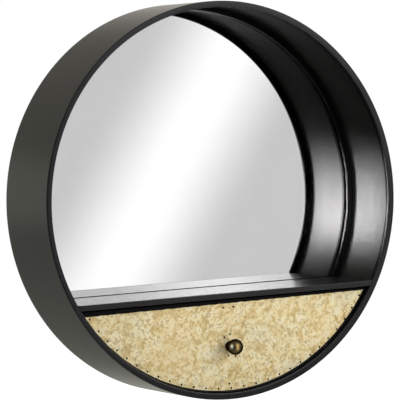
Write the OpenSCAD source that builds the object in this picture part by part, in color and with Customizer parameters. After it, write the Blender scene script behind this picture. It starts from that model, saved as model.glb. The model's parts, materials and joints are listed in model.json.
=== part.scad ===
// Round wall mirror in a sheet-steel drum, with a shelf and one drawer below it.
// Millimetres. The drum's axis runs along Y. The wall plane is y = 0, the open front
// faces -Y, and the origin is the centre of the drum's back edge.

/* [Drum] */
// Outer diameter of the drum
drum_d = 600; // [580:5:680]
// Depth of the drum, from the wall to its front edge
drum_depth = 138; // [132:1:170]
// Thickness of the rolled sheet
band_t = 1.2; // [0.8:0.1:2]
// Side of the square bar used for the rings and runners
bar_w = 8; // [6:0.5:9]

/* [Mirror] */
// Thickness of the mirror glass
glass_t = 3; // [3:0.5:5]
// Gap between the mirror's rim and the band
mirror_gap = 2.8; // [1:0.1:5]
// Thickness of the foam mounting strips
tape_t = 0.8; // [0.5:0.1:1.5]
// Width of one foam strip
tape_w = 20; // [12:1:30]
// Length of one foam strip
tape_len = 380; // [200:10:400]
// Spacing of the foam strips
tape_pitch = 110; // [60:5:120]

/* [Back] */
// Thickness of the back board
panel_t = 5; // [4:0.5:8]
// Gap between the back board's rim and the band
panel_gap = 0.5; // [0.2:0.1:1.5]
// Number of welded lugs that hold the board
lug_count = 8; // [8:4:8]
// Width of a lug
lug_w = 24; // [16:1:28]
// Straight length of a lug before its round end
lug_straight = 10; // [6:1:14]
// Thickness of a lug
lug_t = 2; // [1.5:0.5:3]
// Shank diameter of the lug screws
lug_screw_d = 3.5; // [3:0.1:4]
// Head diameter of the lug screws
lug_head_d = 7; // [6.5:0.1:9]
// Head height of the lug screws
lug_head_h = 1.2; // [1:0.1:2]
// Board left in front of each lug screw's tip
lug_tip_cover = 0.8; // [0.5:0.1:2]
// Depth of a lug screw's head below the wall plane
wall_clear = 0.2; // [0.1:0.1:2]

/* [Hanger] */
// Distance of each keyhole from the drum's middle
hanger_x = 120; // [90:5:150]
// Width of a hanger plate
hanger_w = 50; // [36:1:60]
// Thickness of a hanger plate
hanger_t = 2; // [1.5:0.5:2.5]
// Drop of the keyhole's round entry below the band
keyhole_drop = 27; // [24:1:34]
// Diameter of the keyhole's round entry
keyhole_d = 10; // [8:0.5:12]
// Width of the keyhole's slot
keyhole_slot_w = 5; // [4:0.1:5.5]
// Rise of the slot's upper end above the entry
keyhole_rise = 12; // [10:1:14]
// Plate left below the keyhole's entry
hanger_tail = 9; // [6:1:14]
// Width of the pocket in the back board for a wall screw's head
pocket_w = 14; // [12.5:0.5:18]
// Depth of that pocket
pocket_depth = 3; // [2:0.5:3.5]

/* [Shelf] */
// Drop of the shelf's surface below the drum's centre
shelf_drop = 139.3; // [120:0.1:160]
// Thickness of the shelf sheet
shelf_t = 1.5; // [1:0.1:3]
// Height of the shelf's front rail, flush with the shelf's surface
rail_h = 8.2; // [8:0.1:16]
// Depth of the shelf's front rail
rail_w = 8; // [6:0.5:12]
// Height of the flange folded down at the mirror
flange_h = 12; // [6:1:20]
// Inner radius of the fold between the shelf and its flange
fold_in_r = 0.9; // [0.5:0.1:3]

/* [Drawer] */
// Recess of the brass face behind the drum's front edge
face_recess = 8; // [4:0.5:14]
// Gap between the rail's underside and the drawer
head_gap = 3; // [1:0.5:6]
// Gap between the tray and the felts under it
run_gap = 0.45; // [0.3:0.05:1]
// Length of the drawer from its brass face to its back
drawer_len = 104; // [98:1:105]
// Thickness of the front board
front_t = 12; // [11:0.5:14]
// Thickness of the back board of the drawer
back_t = 8; // [7:0.5:10]
// Thickness of the tray's sheet
tray_t = 1; // [0.8:0.1:2]
// Height of the wood strips along the tray's edges
batten_h = 12; // [8:1:18]
// Width of those strips at the top
batten_w = 12; // [8:1:18]

/* [Drawer travel] */
// How far the drawer pulls out
travel = 70; // [40:1:70]
// Angle of each runner from straight down
runner_angle = 36; // [30:1:40]
// Thickness of the felt on a runner
felt_t = 1; // [0.5:0.1:2]
// Felt left short of each end of a runner
felt_end = 2; // [0:0.5:5]
// Shank diameter of a stop screw
stop_d = 4; // [3:0.1:5]
// Head diameter of a stop screw
stop_head_d = 8; // [7:0.5:10]
// Head height of a stop screw
stop_head_h = 2.2; // [1.5:0.1:4]
// Stop screw's grip in the runner
stop_grip = 5; // [3:0.5:5.5]
// Distance of a stop screw behind the front board
stop_setback = 7.5; // [6:0.5:9]
// Gap all round a stop screw in the tray's slot
stop_gap = 0.5; // [0.3:0.1:0.9]

/* [Tray screws] */
// Number of screws in each row round the tray
tray_screw_count = 6; // [4:2:8]
// Angle from straight down to the outermost screws
tray_screw_angle = 50; // [44:1:54]
// Shank diameter of the tray screws
tray_screw_d = 3; // [2.5:0.1:3.5]
// Head diameter of the tray screws
tray_head_d = 6; // [5:0.1:7]
// Length of the tray screws
tray_screw_len = 14; // [10:1:20]
// Distance of each row from the inner face of the board it grips
tray_screw_edge = 3.5; // [3:0.1:4]
// Depth of each head below the tray's surface
head_sink = 0.1; // [0.05:0.05:0.2]

/* [Brass facing] */
// Thickness of the brass sheet
brass_t = 0.5; // [0.3:0.1:1]
// Black margin between the brass and the tray's inside
brass_margin = 1.3; // [0.5:0.1:4]
// Black margin above the brass
brass_top_margin = 4.8; // [2:0.1:8]
// Head diameter of the tacks
tack_head_d = 2.6; // [2:0.1:4]
// Head height of the tacks
tack_head_h = 0.8; // [0.5:0.1:1.2]
// Shank diameter of the tacks
tack_d = 1.2; // [0.8:0.1:1.6]
// Length of the tacks' shanks
tack_len = 6; // [4:0.5:6.5]
// Distance of the edge tacks from the brass sheet's edge
tack_inset = 3; // [2.4:0.1:6]
// Spacing of the edge tacks
tack_pitch = 21; // [15:1:40]
// Hand-set scatter of the edge tacks along the edge
tack_scatter = 2; // [0:0.1:3]

/* [Middle tacks] */
// Spacing of the pair under the sheet's top edge
top_pair_gap = 17.4; // [12:0.2:24]
// Drop of that pair below the top edge
top_pair_drop = 6.2; // [4:0.1:10]
// Spacing of the pair over the knob
over_pair_gap = 9.5; // [6:0.5:16]
// Rise of that pair above the knob's axis
over_pair_rise = 16; // [15:0.5:22]
// How much its right tack stands higher than its left
over_pair_skew = 4; // [0:0.5:5]
// Spacing of the pair under the knob
under_pair_gap = 12.3; // [6:0.1:16]
// Drop of that pair below the knob's axis
under_pair_drop = 15.2; // [15:0.1:22]
// How much its right tack hangs lower than its left
under_pair_skew = 1.5; // [0:0.5:5]
// Sideways shift of both knob pairs, to the left above and to the right below
pair_shift = 3.5; // [0:0.1:5]
// Rise of the single low tack above the edge tacks' circle
low_tack_rise = 7; // [5:0.5:12]

/* [Knob] */
// Drop of the knob below the drum's centre
knob_drop = 220.5; // [210:0.5:230]
// Diameter of the ball
knob_d = 24; // [20:0.5:30]
// Distance of the ball's centre from the brass face
knob_reach = 17; // [16:0.5:24]
// Diameter of the bead behind the ball
bead_d = 14.6; // [12:0.2:18]
// Thickness of the bead
bead_t = 3; // [2:0.1:4]
// Distance of the bead's middle from the brass face
bead_reach = 5; // [4.5:0.1:6]
// Diameter of the knob's neck
neck_d = 9; // [7:0.1:11]
// Diameter of the small disc under the knob
flange_d = 16; // [14:0.5:24]
// Thickness of that disc
flange_t = 1.6; // [1:0.1:2.5]
// Thread diameter of the knob's bolt
bolt_d = 4; // [3:0.5:5]
// Bolt's grip in the knob
bolt_grip = 11; // [8:0.5:14]
// Head diameter of the bolt
bolt_head_d = 7; // [6.5:0.5:9]
// Head height of the bolt
bolt_head_h = 2.6; // [2:0.1:4]
// Diameter of the bolt's washer
washer_d = 12; // [10:0.5:16]
// Thickness of the washer
washer_t = 0.8; // [0.5:0.1:1.5]

/* [Hidden] */
$fn = 64;
// Facets drawn on the drum's large circles
drum_fn = 360;
// Gap round a shank in its hole
shank_gap = 0.05;
// Overcut that carries a cutter past a face
over = 1;

// Radii, from the outside in
r_out = drum_d / 2;
r_band = r_out - band_t;
r_ring = r_band - bar_w;
r_mirror = r_band - mirror_gap;
r_panel = r_band - panel_gap;
// A flat bar lies in the band on its two outer edges
r_runner = sqrt(pow(r_band, 2) - pow(bar_w / 2, 2)) - bar_w;
r_felt = r_runner - felt_t;
r_tray = r_felt - run_gap;
r_tray_in = r_tray - tray_t;
r_brass = r_tray_in - brass_margin;
r_tacks = r_brass - tack_inset;

// Planes square to the drum's axis, from the wall forwards
y_front = -drum_depth;
y_lug_face = -lug_head_h - wall_clear;
y_panel_back = y_lug_face - lug_t;
y_panel = y_panel_back - panel_t;
y_silver = y_panel - tape_t;
y_glass = y_silver - glass_t;
y_seat = y_glass - bar_w;
y_face = y_front + face_recess;
y_board = y_face + brass_t;
y_board_in = y_board + front_t;
y_drawer_end = y_face + drawer_len;
y_back_in = y_drawer_end - back_t;
y_stop = y_board_in + stop_setback;

// Heights
z_shelf = -shelf_drop;
z_rail = z_shelf - rail_h;
fold_r = fold_in_r + shelf_t;
z_drawer = z_rail - head_gap;
z_brass = z_drawer - brass_top_margin;
z_knob = -knob_drop;
z_entry = sqrt(pow(r_band, 2) - pow(hanger_x, 2)) - keyhole_drop;
z_slot = z_entry + keyhole_rise;

// Radial places of the fasteners
lug_screw_r = r_band - lug_straight;
stop_head_r = r_tray_in - stop_gap;

// Edge tacks: their number, and the angle of the outermost from straight down
tack_reach = acos((-z_brass + 2 * tack_inset) / r_tacks);
tack_count = 1 + 2 * floor(tack_reach * PI / 180 * r_tacks / tack_pitch);
tack_steps = [for (i = [0 : tack_count - 1]) -1 + 2 * i / (tack_count - 1)];
// Each angle is moved a little by a fixed uneven rule, as hand setting leaves it
tack_angles = [
    for (s = tack_steps)
        s * tack_reach + (abs(s) < 1 ? atan(tack_scatter / r_tacks) * sin(s * 5000) : 0)
];
// Tacks down the middle: the pairs at the top, over and under the knob, then the low one
centre_tack_places = [
    for (side = [-1, 1])
        [side * top_pair_gap / 2, z_brass - top_pair_drop],
    for (side = [-1, 1])
        [side * over_pair_gap / 2 - pair_shift,
         z_knob + over_pair_rise + side * over_pair_skew / 2],
    for (side = [-1, 1])
        [side * under_pair_gap / 2 + pair_shift,
         z_knob - under_pair_drop - side * under_pair_skew / 2],
    [-pair_shift, -r_tacks + low_tack_rise]
];

tray_screw_angles = [
    for (i = [0 : tray_screw_count - 1])
        tray_screw_angle * (-1 + 2 * i / (tray_screw_count - 1))
];
tray_screw_rows = [y_board_in - tray_screw_edge, y_back_in + tray_screw_edge];

// ---- Helpers -------------------------------------------------------------------------

// One of the large circles about the drum's axis
module ring_line(r) {
    circle(r, $fn = drum_fn);
}

// A flat outline in X and Z, made solid from y = back forwards to y = front
module slab(back, front) {
    translate([0, back, 0])
        rotate([90, 0, 0])
            linear_extrude(back - front)
                children();
}

// A solid turned about the Y axis, from straight down towards +X
module round_drum(angle) {
    rotate([0, -angle, 0])
        children();
}

// A shaft or hole along Y at (x, z), from y = back forwards to y = front
module pin_y(x, z, d, back, front) {
    translate([x, back, z])
        rotate([90, 0, 0])
            cylinder(d = d, h = back - front);
}

// Everything below a level, for trimming round outlines
module below(z) {
    translate([-r_out, z - drum_d])
        square([drum_d, drum_d]);
}

// The free space inside the drum: full width between the rings, less at each ring
module drum_bore() {
    slab(y_glass, y_front)
        ring_line(r_ring);
    slab(y_seat, y_front + bar_w)
        ring_line(r_band);
}

// One square-bar ring whose back face is at y = back
module bar_ring(back) {
    slab(back, back - bar_w)
        difference() {
            ring_line(r_band);
            ring_line(r_ring);
        }
}

// ---- Drum ----------------------------------------------------------------------------

module drum_band() {
    color("#262421")
        slab(0, y_front)
            difference() {
                ring_line(r_out);
                ring_line(r_band);
            }
}

module front_ring() {
    color("#2b2a2c")
        bar_ring(y_front + bar_w);
}

module mirror_ring() {
    color("#222123")
        bar_ring(y_glass);
}

// ---- Shelf ---------------------------------------------------------------------------

// Section of the folded sheet in Y and Z: shelf, fold and flange
module fold_section() {
    fold_y = y_glass - fold_r;
    fold_z = z_shelf - fold_r;
    translate([y_front + rail_w, z_shelf - shelf_t])
        square([fold_y - y_front - rail_w, shelf_t]);
    translate([fold_y, fold_z])
        intersection() {
            difference() {
                circle(fold_r);
                circle(fold_in_r);
            }
            square(fold_r);
        }
    translate([y_glass - shelf_t, z_shelf - flange_h])
        square([shelf_t, flange_h - fold_r]);
}

module shelf_plate() {
    color("#d8d8d8")
        intersection() {
            translate([-r_out, 0, 0])
                rotate([90, 0, 90])
                    linear_extrude(drum_d)
                        fold_section();
            drum_bore();
        }
}

module shelf_rail() {
    color("#2d2c2f")
        intersection() {
            translate([-r_out, y_front, z_rail])
                cube([drum_d, rail_w, rail_h]);
            drum_bore();
        }
}

// ---- Mirror and back -----------------------------------------------------------------

module mirror_disc() {
    color("#e9eceb")
        slab(y_silver, y_glass)
            ring_line(r_mirror);
}

module mirror_tape() {
    color("#f2f2ee")
        for (i = [-1.5 : 1 : 1.5])
            slab(y_panel, y_silver)
                translate([i * tape_pitch, 0])
                    square([tape_w, tape_len], center = true);
}

// Outline of a keyhole, or of the pocket behind it
module keyhole_outline(entry_d, slot_d) {
    translate([0, z_entry])
        circle(d = entry_d);
    translate([0, z_slot])
        circle(d = slot_d);
    translate([-slot_d / 2, z_entry])
        square([slot_d, keyhole_rise]);
}

module back_panel() {
    color("#8a6b4a")
        difference() {
            slab(y_panel_back, y_panel)
                ring_line(r_panel);
            for (x = [-hanger_x, hanger_x])
                translate([x, 0, 0])
                    slab(y_panel_back + over, y_panel_back - pocket_depth)
                        keyhole_outline(pocket_w, pocket_w);
            at_lugs()
                pin_y(0, -lug_screw_r, lug_screw_d + 2 * shank_gap,
                      y_panel_back + over, y_panel + lug_tip_cover);
        }
}

// Places its children, drawn straight down, at every lug
module at_lugs() {
    for (i = [0 : lug_count - 1])
        round_drum(i * 360 / lug_count)
            children();
}

module panel_lugs() {
    color("#2a292a")
        at_lugs()
            difference() {
                slab(y_lug_face, y_panel_back)
                    intersection() {
                        union() {
                            translate([0, -lug_screw_r])
                                circle(d = lug_w);
                            translate([-lug_w / 2, -r_out])
                                square([lug_w, r_out - lug_screw_r]);
                        }
                        ring_line(r_band);
                    }
                pin_y(0, -lug_screw_r, lug_screw_d + 4 * shank_gap,
                      y_lug_face + over, y_panel_back - over);
            }
}

module lug_screws() {
    color("#b8b9bb")
        at_lugs() {
            pin_y(0, -lug_screw_r, lug_head_d, y_lug_face + lug_head_h, y_lug_face);
            pin_y(0, -lug_screw_r, lug_screw_d, y_lug_face, y_panel + lug_tip_cover);
        }
}

module hanger_plates() {
    color("#3a393a")
        for (x = [-hanger_x, hanger_x])
            slab(0, -hanger_t)
                difference() {
                    intersection() {
                        translate([x - hanger_w / 2, z_entry - keyhole_d / 2 - hanger_tail])
                            square([hanger_w, r_out]);
                        ring_line(r_band);
                    }
                    translate([x, 0])
                        keyhole_outline(keyhole_d, keyhole_slot_w);
                }
}

// ---- Runners and stops ---------------------------------------------------------------

// Places its children, drawn straight down, at both runners
module at_runners() {
    for (a = [-runner_angle, runner_angle])
        round_drum(a)
            children();
}

// A radial pin or hole, drawn straight down, between two radii
module pin_radial(y, d, r_from, r_to) {
    translate([0, y, -r_to])
        cylinder(d = d, h = r_to - r_from);
}

module runner_bars() {
    color("#2b2a2c")
        at_runners()
            difference() {
                translate([-bar_w / 2, y_front + bar_w, -r_runner - bar_w])
                    cube([bar_w, y_seat - y_front - bar_w, bar_w]);
                pin_radial(y_stop, stop_d + 2 * shank_gap, r_runner - over,
                           r_runner + stop_grip + shank_gap);
            }
}

module runner_felts() {
    color("#3c3b3a")
        at_runners()
            difference() {
                translate([-bar_w / 2, y_front + bar_w + felt_end, -r_runner])
                    cube([bar_w, y_seat - y_front - bar_w - 2 * felt_end, felt_t]);
                pin_radial(y_stop, stop_d + 2 * shank_gap, r_felt - over, r_runner + over);
            }
}

module stop_screws() {
    color("#b8b9bb")
        at_runners() {
            pin_radial(y_stop, stop_head_d, stop_head_r - stop_head_h, stop_head_r);
            pin_radial(y_stop, stop_d, stop_head_r, r_runner + stop_grip);
        }
}

// ---- Drawer box ----------------------------------------------------------------------

// Outline of the boards that close the tray at its front and back
module board_outline() {
    intersection() {
        ring_line(r_tray_in);
        below(z_drawer);
    }
}

// One tray screw, drawn straight down; grow widens and deepens it into its hole
module tray_screw(y, grow) {
    cone_h = (tray_head_d - tray_screw_d) / 2;
    head_r = r_tray - head_sink;
    translate([0, y, -head_r])
        cylinder(d1 = tray_head_d + 2 * grow, d2 = tray_screw_d + 2 * grow, h = cone_h);
    pin_radial(y, tray_screw_d + 2 * grow, head_r - tray_screw_len - grow, head_r - cone_h);
    if (grow > 0)
        pin_radial(y, tray_head_d + 2 * grow, head_r, head_r + over);
}

module all_tray_screws(grow) {
    for (y = tray_screw_rows)
        for (a = tray_screw_angles)
            round_drum(a)
                tray_screw(y, grow);
}

// A tack with a domed head on the brass; its hole is drawn by the plain shank
module tack_shank(x, z, d) {
    pin_y(x, z, d, y_face + tack_len, y_face);
}

module tack(x, z) {
    dome_r = (pow(tack_head_d / 2, 2) + pow(tack_head_h, 2)) / (2 * tack_head_h);
    tack_shank(x, z, tack_d);
    intersection() {
        translate([x, y_face - tack_head_h + dome_r, z])
            sphere(dome_r, $fn = 32);
        pin_y(x, z, tack_head_d + over, y_face, y_face - tack_head_h - over);
    }
}

module all_tack_holes() {
    for (a = tack_angles)
        tack_shank(r_tacks * sin(a), -r_tacks * cos(a), tack_d + 2 * shank_gap);
    for (p = centre_tack_places)
        tack_shank(p[0], p[1], tack_d + 2 * shank_gap);
}

module drawer_front() {
    color("#232226")
        difference() {
            slab(y_board_in, y_board)
                board_outline();
            all_tray_screws(shank_gap);
            all_tack_holes();
            pin_y(0, z_knob, bolt_d + 4 * shank_gap, y_board_in + over, y_board - over);
        }
}

module brass_sheet() {
    color("#dcc795")
        difference() {
            slab(y_board, y_face)
                intersection() {
                    ring_line(r_brass);
                    below(z_brass);
                }
            translate([0, -over, 0])
                all_tack_holes();
            pin_y(0, z_knob, bolt_d + 4 * shank_gap, y_board + over, y_face - over);
        }
}

module edge_tacks() {
    color("#3b2f1c")
        for (a = tack_angles)
            tack(r_tacks * sin(a), -r_tacks * cos(a));
}

module centre_tacks() {
    color("#3b2f1c")
        for (p = centre_tack_places)
            tack(p[0], p[1]);
}

module drawer_tray() {
    color("#2a292b")
        difference() {
            slab(y_drawer_end, y_board)
                intersection() {
                    difference() {
                        ring_line(r_tray);
                        ring_line(r_tray_in);
                    }
                    below(z_drawer);
                }
            all_tray_screws(shank_gap);
            at_runners()
                stop_slot();
        }
}

// Slot that a stop screw runs in, as long as the travel
module stop_slot() {
    slot_w = stop_d + 2 * stop_gap;
    for (y = [y_stop, y_stop + travel])
        pin_radial(y, slot_w, r_tray_in - over, r_tray + over);
    translate([-slot_w / 2, y_stop, -r_tray - over])
        cube([slot_w, travel, tray_t + 2 * over]);
}

module drawer_back() {
    color("#7d6547")
        difference() {
            slab(y_drawer_end, y_back_in)
                board_outline();
            all_tray_screws(shank_gap);
        }
}

module tray_battens() {
    x_edge = sqrt(pow(r_tray_in, 2) - pow(z_drawer, 2));
    color("#9a7b52")
        slab(y_back_in, y_board_in)
            difference() {
                board_outline();
                below(z_drawer - batten_h);
                translate([batten_w - x_edge, z_drawer - batten_h - over])
                    square([2 * (x_edge - batten_w), batten_h + 2 * over]);
            }
}

module tray_screws() {
    color("#8f8f90")
        all_tray_screws(0);
}

// ---- Knob ----------------------------------------------------------------------------

// Turns a profile of (radius, distance from the brass) about the knob's axis
module turned() {
    translate([0, y_face, z_knob])
        rotate([90, 0, 0])
            rotate_extrude()
                children();
}

module knob_ball() {
    color("#4a3c22")
        difference() {
            turned() {
                translate([0, flange_t])
                    square([neck_d / 2, knob_reach - flange_t]);
                intersection() {
                    translate([0, knob_reach])
                        circle(d = knob_d);
                    square([knob_d, knob_reach + knob_d]);
                }
                translate([0, bead_reach - bead_t / 2])
                    square([(bead_d - bead_t) / 2, bead_t]);
                translate([(bead_d - bead_t) / 2, bead_reach])
                    circle(d = bead_t, $fn = 32);
            }
            pin_y(0, z_knob, bolt_d + 2 * shank_gap, y_face + over, y_face - bolt_grip - over);
        }
}

module knob_flange() {
    color("#4a3c22")
        turned()
            difference() {
                union() {
                    square([(flange_d - flange_t) / 2, flange_t]);
                    translate([(flange_d - flange_t) / 2, flange_t / 2])
                        circle(d = flange_t, $fn = 32);
                }
                square([bolt_d / 2 + 2 * shank_gap, flange_t]);
            }
}

module knob_bolt() {
    y_washer = y_board_in + washer_t;
    color("#b8b9bb") {
        pin_y(0, z_knob, bolt_head_d, y_washer + bolt_head_h, y_washer);
        pin_y(0, z_knob, bolt_d, y_washer, y_face - bolt_grip);
    }
}

module knob_washer() {
    color("#c4c5c7")
        difference() {
            pin_y(0, z_knob, washer_d, y_board_in + washer_t, y_board_in);
            pin_y(0, z_knob, bolt_d + 4 * shank_gap, y_board_in + washer_t + over,
                  y_board_in - over);
        }
}

drum_band();
front_ring();
mirror_ring();
shelf_plate();
shelf_rail();
mirror_disc();
mirror_tape();
back_panel();
panel_lugs();
lug_screws();
hanger_plates();
runner_bars();
runner_felts();
stop_screws();
drawer_front();
brass_sheet();
edge_tacks();
centre_tacks();
drawer_tray();
drawer_back();
tray_battens();
tray_screws();
knob_ball();
knob_flange();
knob_bolt();
knob_washer();
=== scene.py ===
"""Looks of a round wall mirror with a shelf and one drawer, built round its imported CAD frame.

The drum's axis runs along Y and its open front faces -Y. Sizes in the classes are in
millimetres and repeat the CAD's, but for the studio's, which are in metres unless a name says
mm.
"""

from __future__ import annotations

import json
import logging
import math
import random
from dataclasses import dataclass, field
from enum import Enum
from typing import Any, Iterable, Sequence

import bmesh
import bpy
from mathutils import Matrix, Vector, noise

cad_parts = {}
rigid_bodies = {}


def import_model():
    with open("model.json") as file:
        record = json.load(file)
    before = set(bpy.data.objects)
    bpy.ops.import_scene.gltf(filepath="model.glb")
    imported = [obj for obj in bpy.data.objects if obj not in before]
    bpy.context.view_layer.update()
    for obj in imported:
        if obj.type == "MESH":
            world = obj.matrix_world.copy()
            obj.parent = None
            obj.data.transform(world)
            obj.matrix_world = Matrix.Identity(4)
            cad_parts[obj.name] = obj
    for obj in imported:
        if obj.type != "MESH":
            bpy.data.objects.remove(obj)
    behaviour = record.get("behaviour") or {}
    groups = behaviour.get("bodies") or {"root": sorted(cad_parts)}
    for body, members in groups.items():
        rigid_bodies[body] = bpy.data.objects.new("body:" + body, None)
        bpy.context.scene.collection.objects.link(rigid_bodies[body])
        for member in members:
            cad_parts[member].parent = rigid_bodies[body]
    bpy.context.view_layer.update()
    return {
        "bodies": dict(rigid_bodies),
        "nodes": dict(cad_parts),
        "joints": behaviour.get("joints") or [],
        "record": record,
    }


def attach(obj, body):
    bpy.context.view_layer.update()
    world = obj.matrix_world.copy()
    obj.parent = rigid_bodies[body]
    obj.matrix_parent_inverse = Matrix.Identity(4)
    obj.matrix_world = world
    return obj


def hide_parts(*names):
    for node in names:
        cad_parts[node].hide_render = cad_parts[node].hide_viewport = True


LOG = logging.getLogger("wall_mirror")
MM = 0.001
WHITE = (1.0, 1.0, 1.0, 1.0)
# Noise seldom leaves this span, so a shine that follows it is stretched over the span
NOISE_SPAN = {"From Min": 0.3, "From Max": 0.7}
# Degrees below which a screw's edges shade smoothly, so that its recess stays crisp
SCREW_SMOOTH = 25.0
# Weld ripples: how far apart they lie and how much they vary, as shares of the bead's width
RIPPLE_PITCH = 0.45
RIPPLE_SPREAD = (0.88, 1.0)

Tree = bpy.types.NodeTree
Socket = bpy.types.NodeSocket
Shape = bmesh.types.BMesh
Inputs = dict[str | int, Any]
Place = tuple[float, float]


class Body(Enum):
    """The two CAD bodies that a piece can ride on."""

    CARCASS = "carcass"
    DRAWER = "drawer"


class HeadForm(Enum):
    """Form of a screw's head."""

    PAN = "pan"
    COUNTERSUNK = "countersunk"


# ---- Shared helpers ----------------------------------------------------------------------


def linear(code: str) -> tuple[float, float, float, float]:
    """Turns an sRGB hex colour into the linear colour that shaders take.

    Args:
        code: A colour such as "#2b2a2c".

    Returns:
        Linear red, green and blue, with an alpha of 1.
    """
    shares = [int(code[i : i + 2], 16) / 255 for i in (1, 3, 5)]
    red, green, blue = (
        s / 12.92 if s <= 0.04045 else ((s + 0.055) / 1.055) ** 2.4 for s in shares
    )
    return red, green, blue, 1.0


def per_metre(size_mm: float) -> float:
    """Texture scale at which one cell of a pattern is size_mm across."""
    return 1 / (size_mm * MM)


def add_node(
    tree: Tree,
    kind: str,
    inputs: Inputs | None = None,
    stops: Sequence[tuple[float, str]] = (),
    **settings: Any,
) -> bpy.types.Node:
    """Adds one node with its settings and links.

    Args:
        tree: The node tree that it goes into.
        kind: Blender's name for the kind of node.
        inputs: A value or a socket to link, for each input named or numbered.
        stops: Places and colours of a colour ramp.
        settings: The node's own settings.

    Returns:
        The new node.
    """
    node = tree.nodes.new(kind)
    for name, value in settings.items():
        setattr(node, name, value)
    for key, value in (inputs or {}).items():
        if isinstance(value, Socket):
            tree.links.new(value, node.inputs[key])
        else:
            node.inputs[key].default_value = value
    if stops:
        ramp = node.color_ramp.elements
        while len(ramp) < len(stops):
            ramp.new(0.5)
        for element, (place, code) in zip(ramp, stops):
            element.position = place
            element.color = linear(code)
    return node


def blank_material(name: str) -> bpy.types.Material:
    """Makes a material with an empty node tree.

    Args:
        name: The material's name.

    Returns:
        The new material.
    """
    made = bpy.data.materials.new(name)
    made.use_nodes = True
    made.node_tree.nodes.clear()
    return made


# ---- Finishes ----------------------------------------------------------------------------


@dataclass(frozen=True)
class Finish:
    """A surface finish that makes one Blender material, shared by all pieces that have it."""

    name: str

    def material(self) -> bpy.types.Material:
        """Makes the material, or finds it if it has been made.

        Returns:
            The material.
        """
        found = bpy.data.materials.get(self.name)
        if found:
            return found
        made = blank_material(self.name)
        tree = made.node_tree
        place = add_node(tree, "ShaderNodeTexCoord").outputs["Object"]
        shader = add_node(tree, "ShaderNodeBsdfPrincipled", self.dress(tree, place))
        add_node(tree, "ShaderNodeOutputMaterial", {"Surface": shader.outputs["BSDF"]})
        return made

    def dress(self, tree: Tree, place: Socket) -> Inputs:
        """Adds the nodes of the surface's colours, shine and relief.

        Args:
            tree: The material's node tree.
            place: Object coordinates, in metres.

        Returns:
            Inputs of the material's Principled shader.
        """
        raise NotImplementedError


@dataclass(frozen=True)
class BakedEnamel(Finish):
    """Black stove enamel, sprayed on steel and baked: smooth, with a faint orange peel.

    It gives the eye a deep black that turns to a pale sheen only where light grazes it.
    """

    colour: str = "#141312"
    haze: str = "#1f1e1c"
    roughness: float = 0.3
    shine: float = 0.5
    spread: tuple[float, float] = (-0.02, 0.03)
    # The peel's dimples are about 1.5 mm; they are drawn at 3 mm so that they show
    peel_mm: float = 3.0
    peel_depth_mm: float = 0.0025
    cloud_mm: float = 110.0
    # Painted shade near the drum's front: share of the shine that its inner wall keeps there, the
    # radius that parts that wall from the outer one, and the Y at which the loss is full and ends
    front_shade_share: float = 1.0
    wall_mm: float = 299.4
    front_y_mm: tuple[float, float] = (-120.0, -80.0)

    def dress(self, tree: Tree, place: Socket) -> Inputs:
        """Clouds the black a little and adds the orange peel.

        Args:
            tree: The material's node tree.
            place: Object coordinates, in metres.

        Returns:
            Inputs of the material's Principled shader.
        """
        cloud = add_node(
            tree,
            "ShaderNodeTexNoise",
            {"Vector": place, "Scale": per_metre(self.cloud_mm), "Detail": 3.0},
        )
        colour = add_node(
            tree,
            "ShaderNodeValToRGB",
            {"Fac": cloud.outputs["Fac"]},
            stops=[(0.35, self.colour), (0.7, self.haze)],
        )
        least, most = (self.roughness + change for change in self.spread)
        shine = add_node(
            tree,
            "ShaderNodeMapRange",
            {"Value": cloud.outputs["Fac"], **NOISE_SPAN, "To Min": least, "To Max": most},
        )
        peel = add_node(
            tree,
            "ShaderNodeTexNoise",
            {"Vector": place, "Scale": per_metre(self.peel_mm), "Detail": 1.0},
        )
        relief = add_node(
            tree,
            "ShaderNodeBump",
            {"Height": peel.outputs["Fac"], "Distance": self.peel_depth_mm * MM, "Strength": 1.0},
        )
        even = self.front_shade_share == 1.0
        return {
            "Base Color": colour.outputs["Color"],
            "Roughness": shine.outputs["Result"],
            "Normal": relief.outputs["Normal"],
            "Specular IOR Level": self.shine if even else self.paint_front_shade(tree, place),
        }

    def paint_front_shade(self, tree: Tree, place: Socket) -> Socket:
        """Paints shade on the drum's inner wall near its front by taking off some of its shine.

        Args:
            tree: The material's node tree.
            place: Object coordinates, in metres.

        Returns:
            The shine that is left.
        """
        axes = add_node(tree, "ShaderNodeSeparateXYZ", {0: place})
        front, rear = self.front_y_mm
        inner_shine = add_node(
            tree,
            "ShaderNodeMapRange",
            {
                "Value": axes.outputs["Y"],
                "From Min": front * MM,
                "From Max": rear * MM,
                "To Min": self.shine * self.front_shade_share,
                "To Max": self.shine,
            },
        )
        round_axis = add_node(
            tree, "ShaderNodeVectorMath", {0: place, 1: (1.0, 0.0, 1.0)}, operation="MULTIPLY"
        )
        reach = add_node(
            tree, "ShaderNodeVectorMath", {0: round_axis.outputs[0]}, operation="LENGTH"
        )
        inside = add_node(
            tree,
            "ShaderNodeMath",
            {0: reach.outputs["Value"], 1: self.wall_mm * MM},
            operation="LESS_THAN",
        )
        left = add_node(
            tree,
            "ShaderNodeMix",
            {0: inside.outputs[0], 2: self.shine, 3: inner_shine.outputs["Result"]},
        )
        return left.outputs[0]


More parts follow.
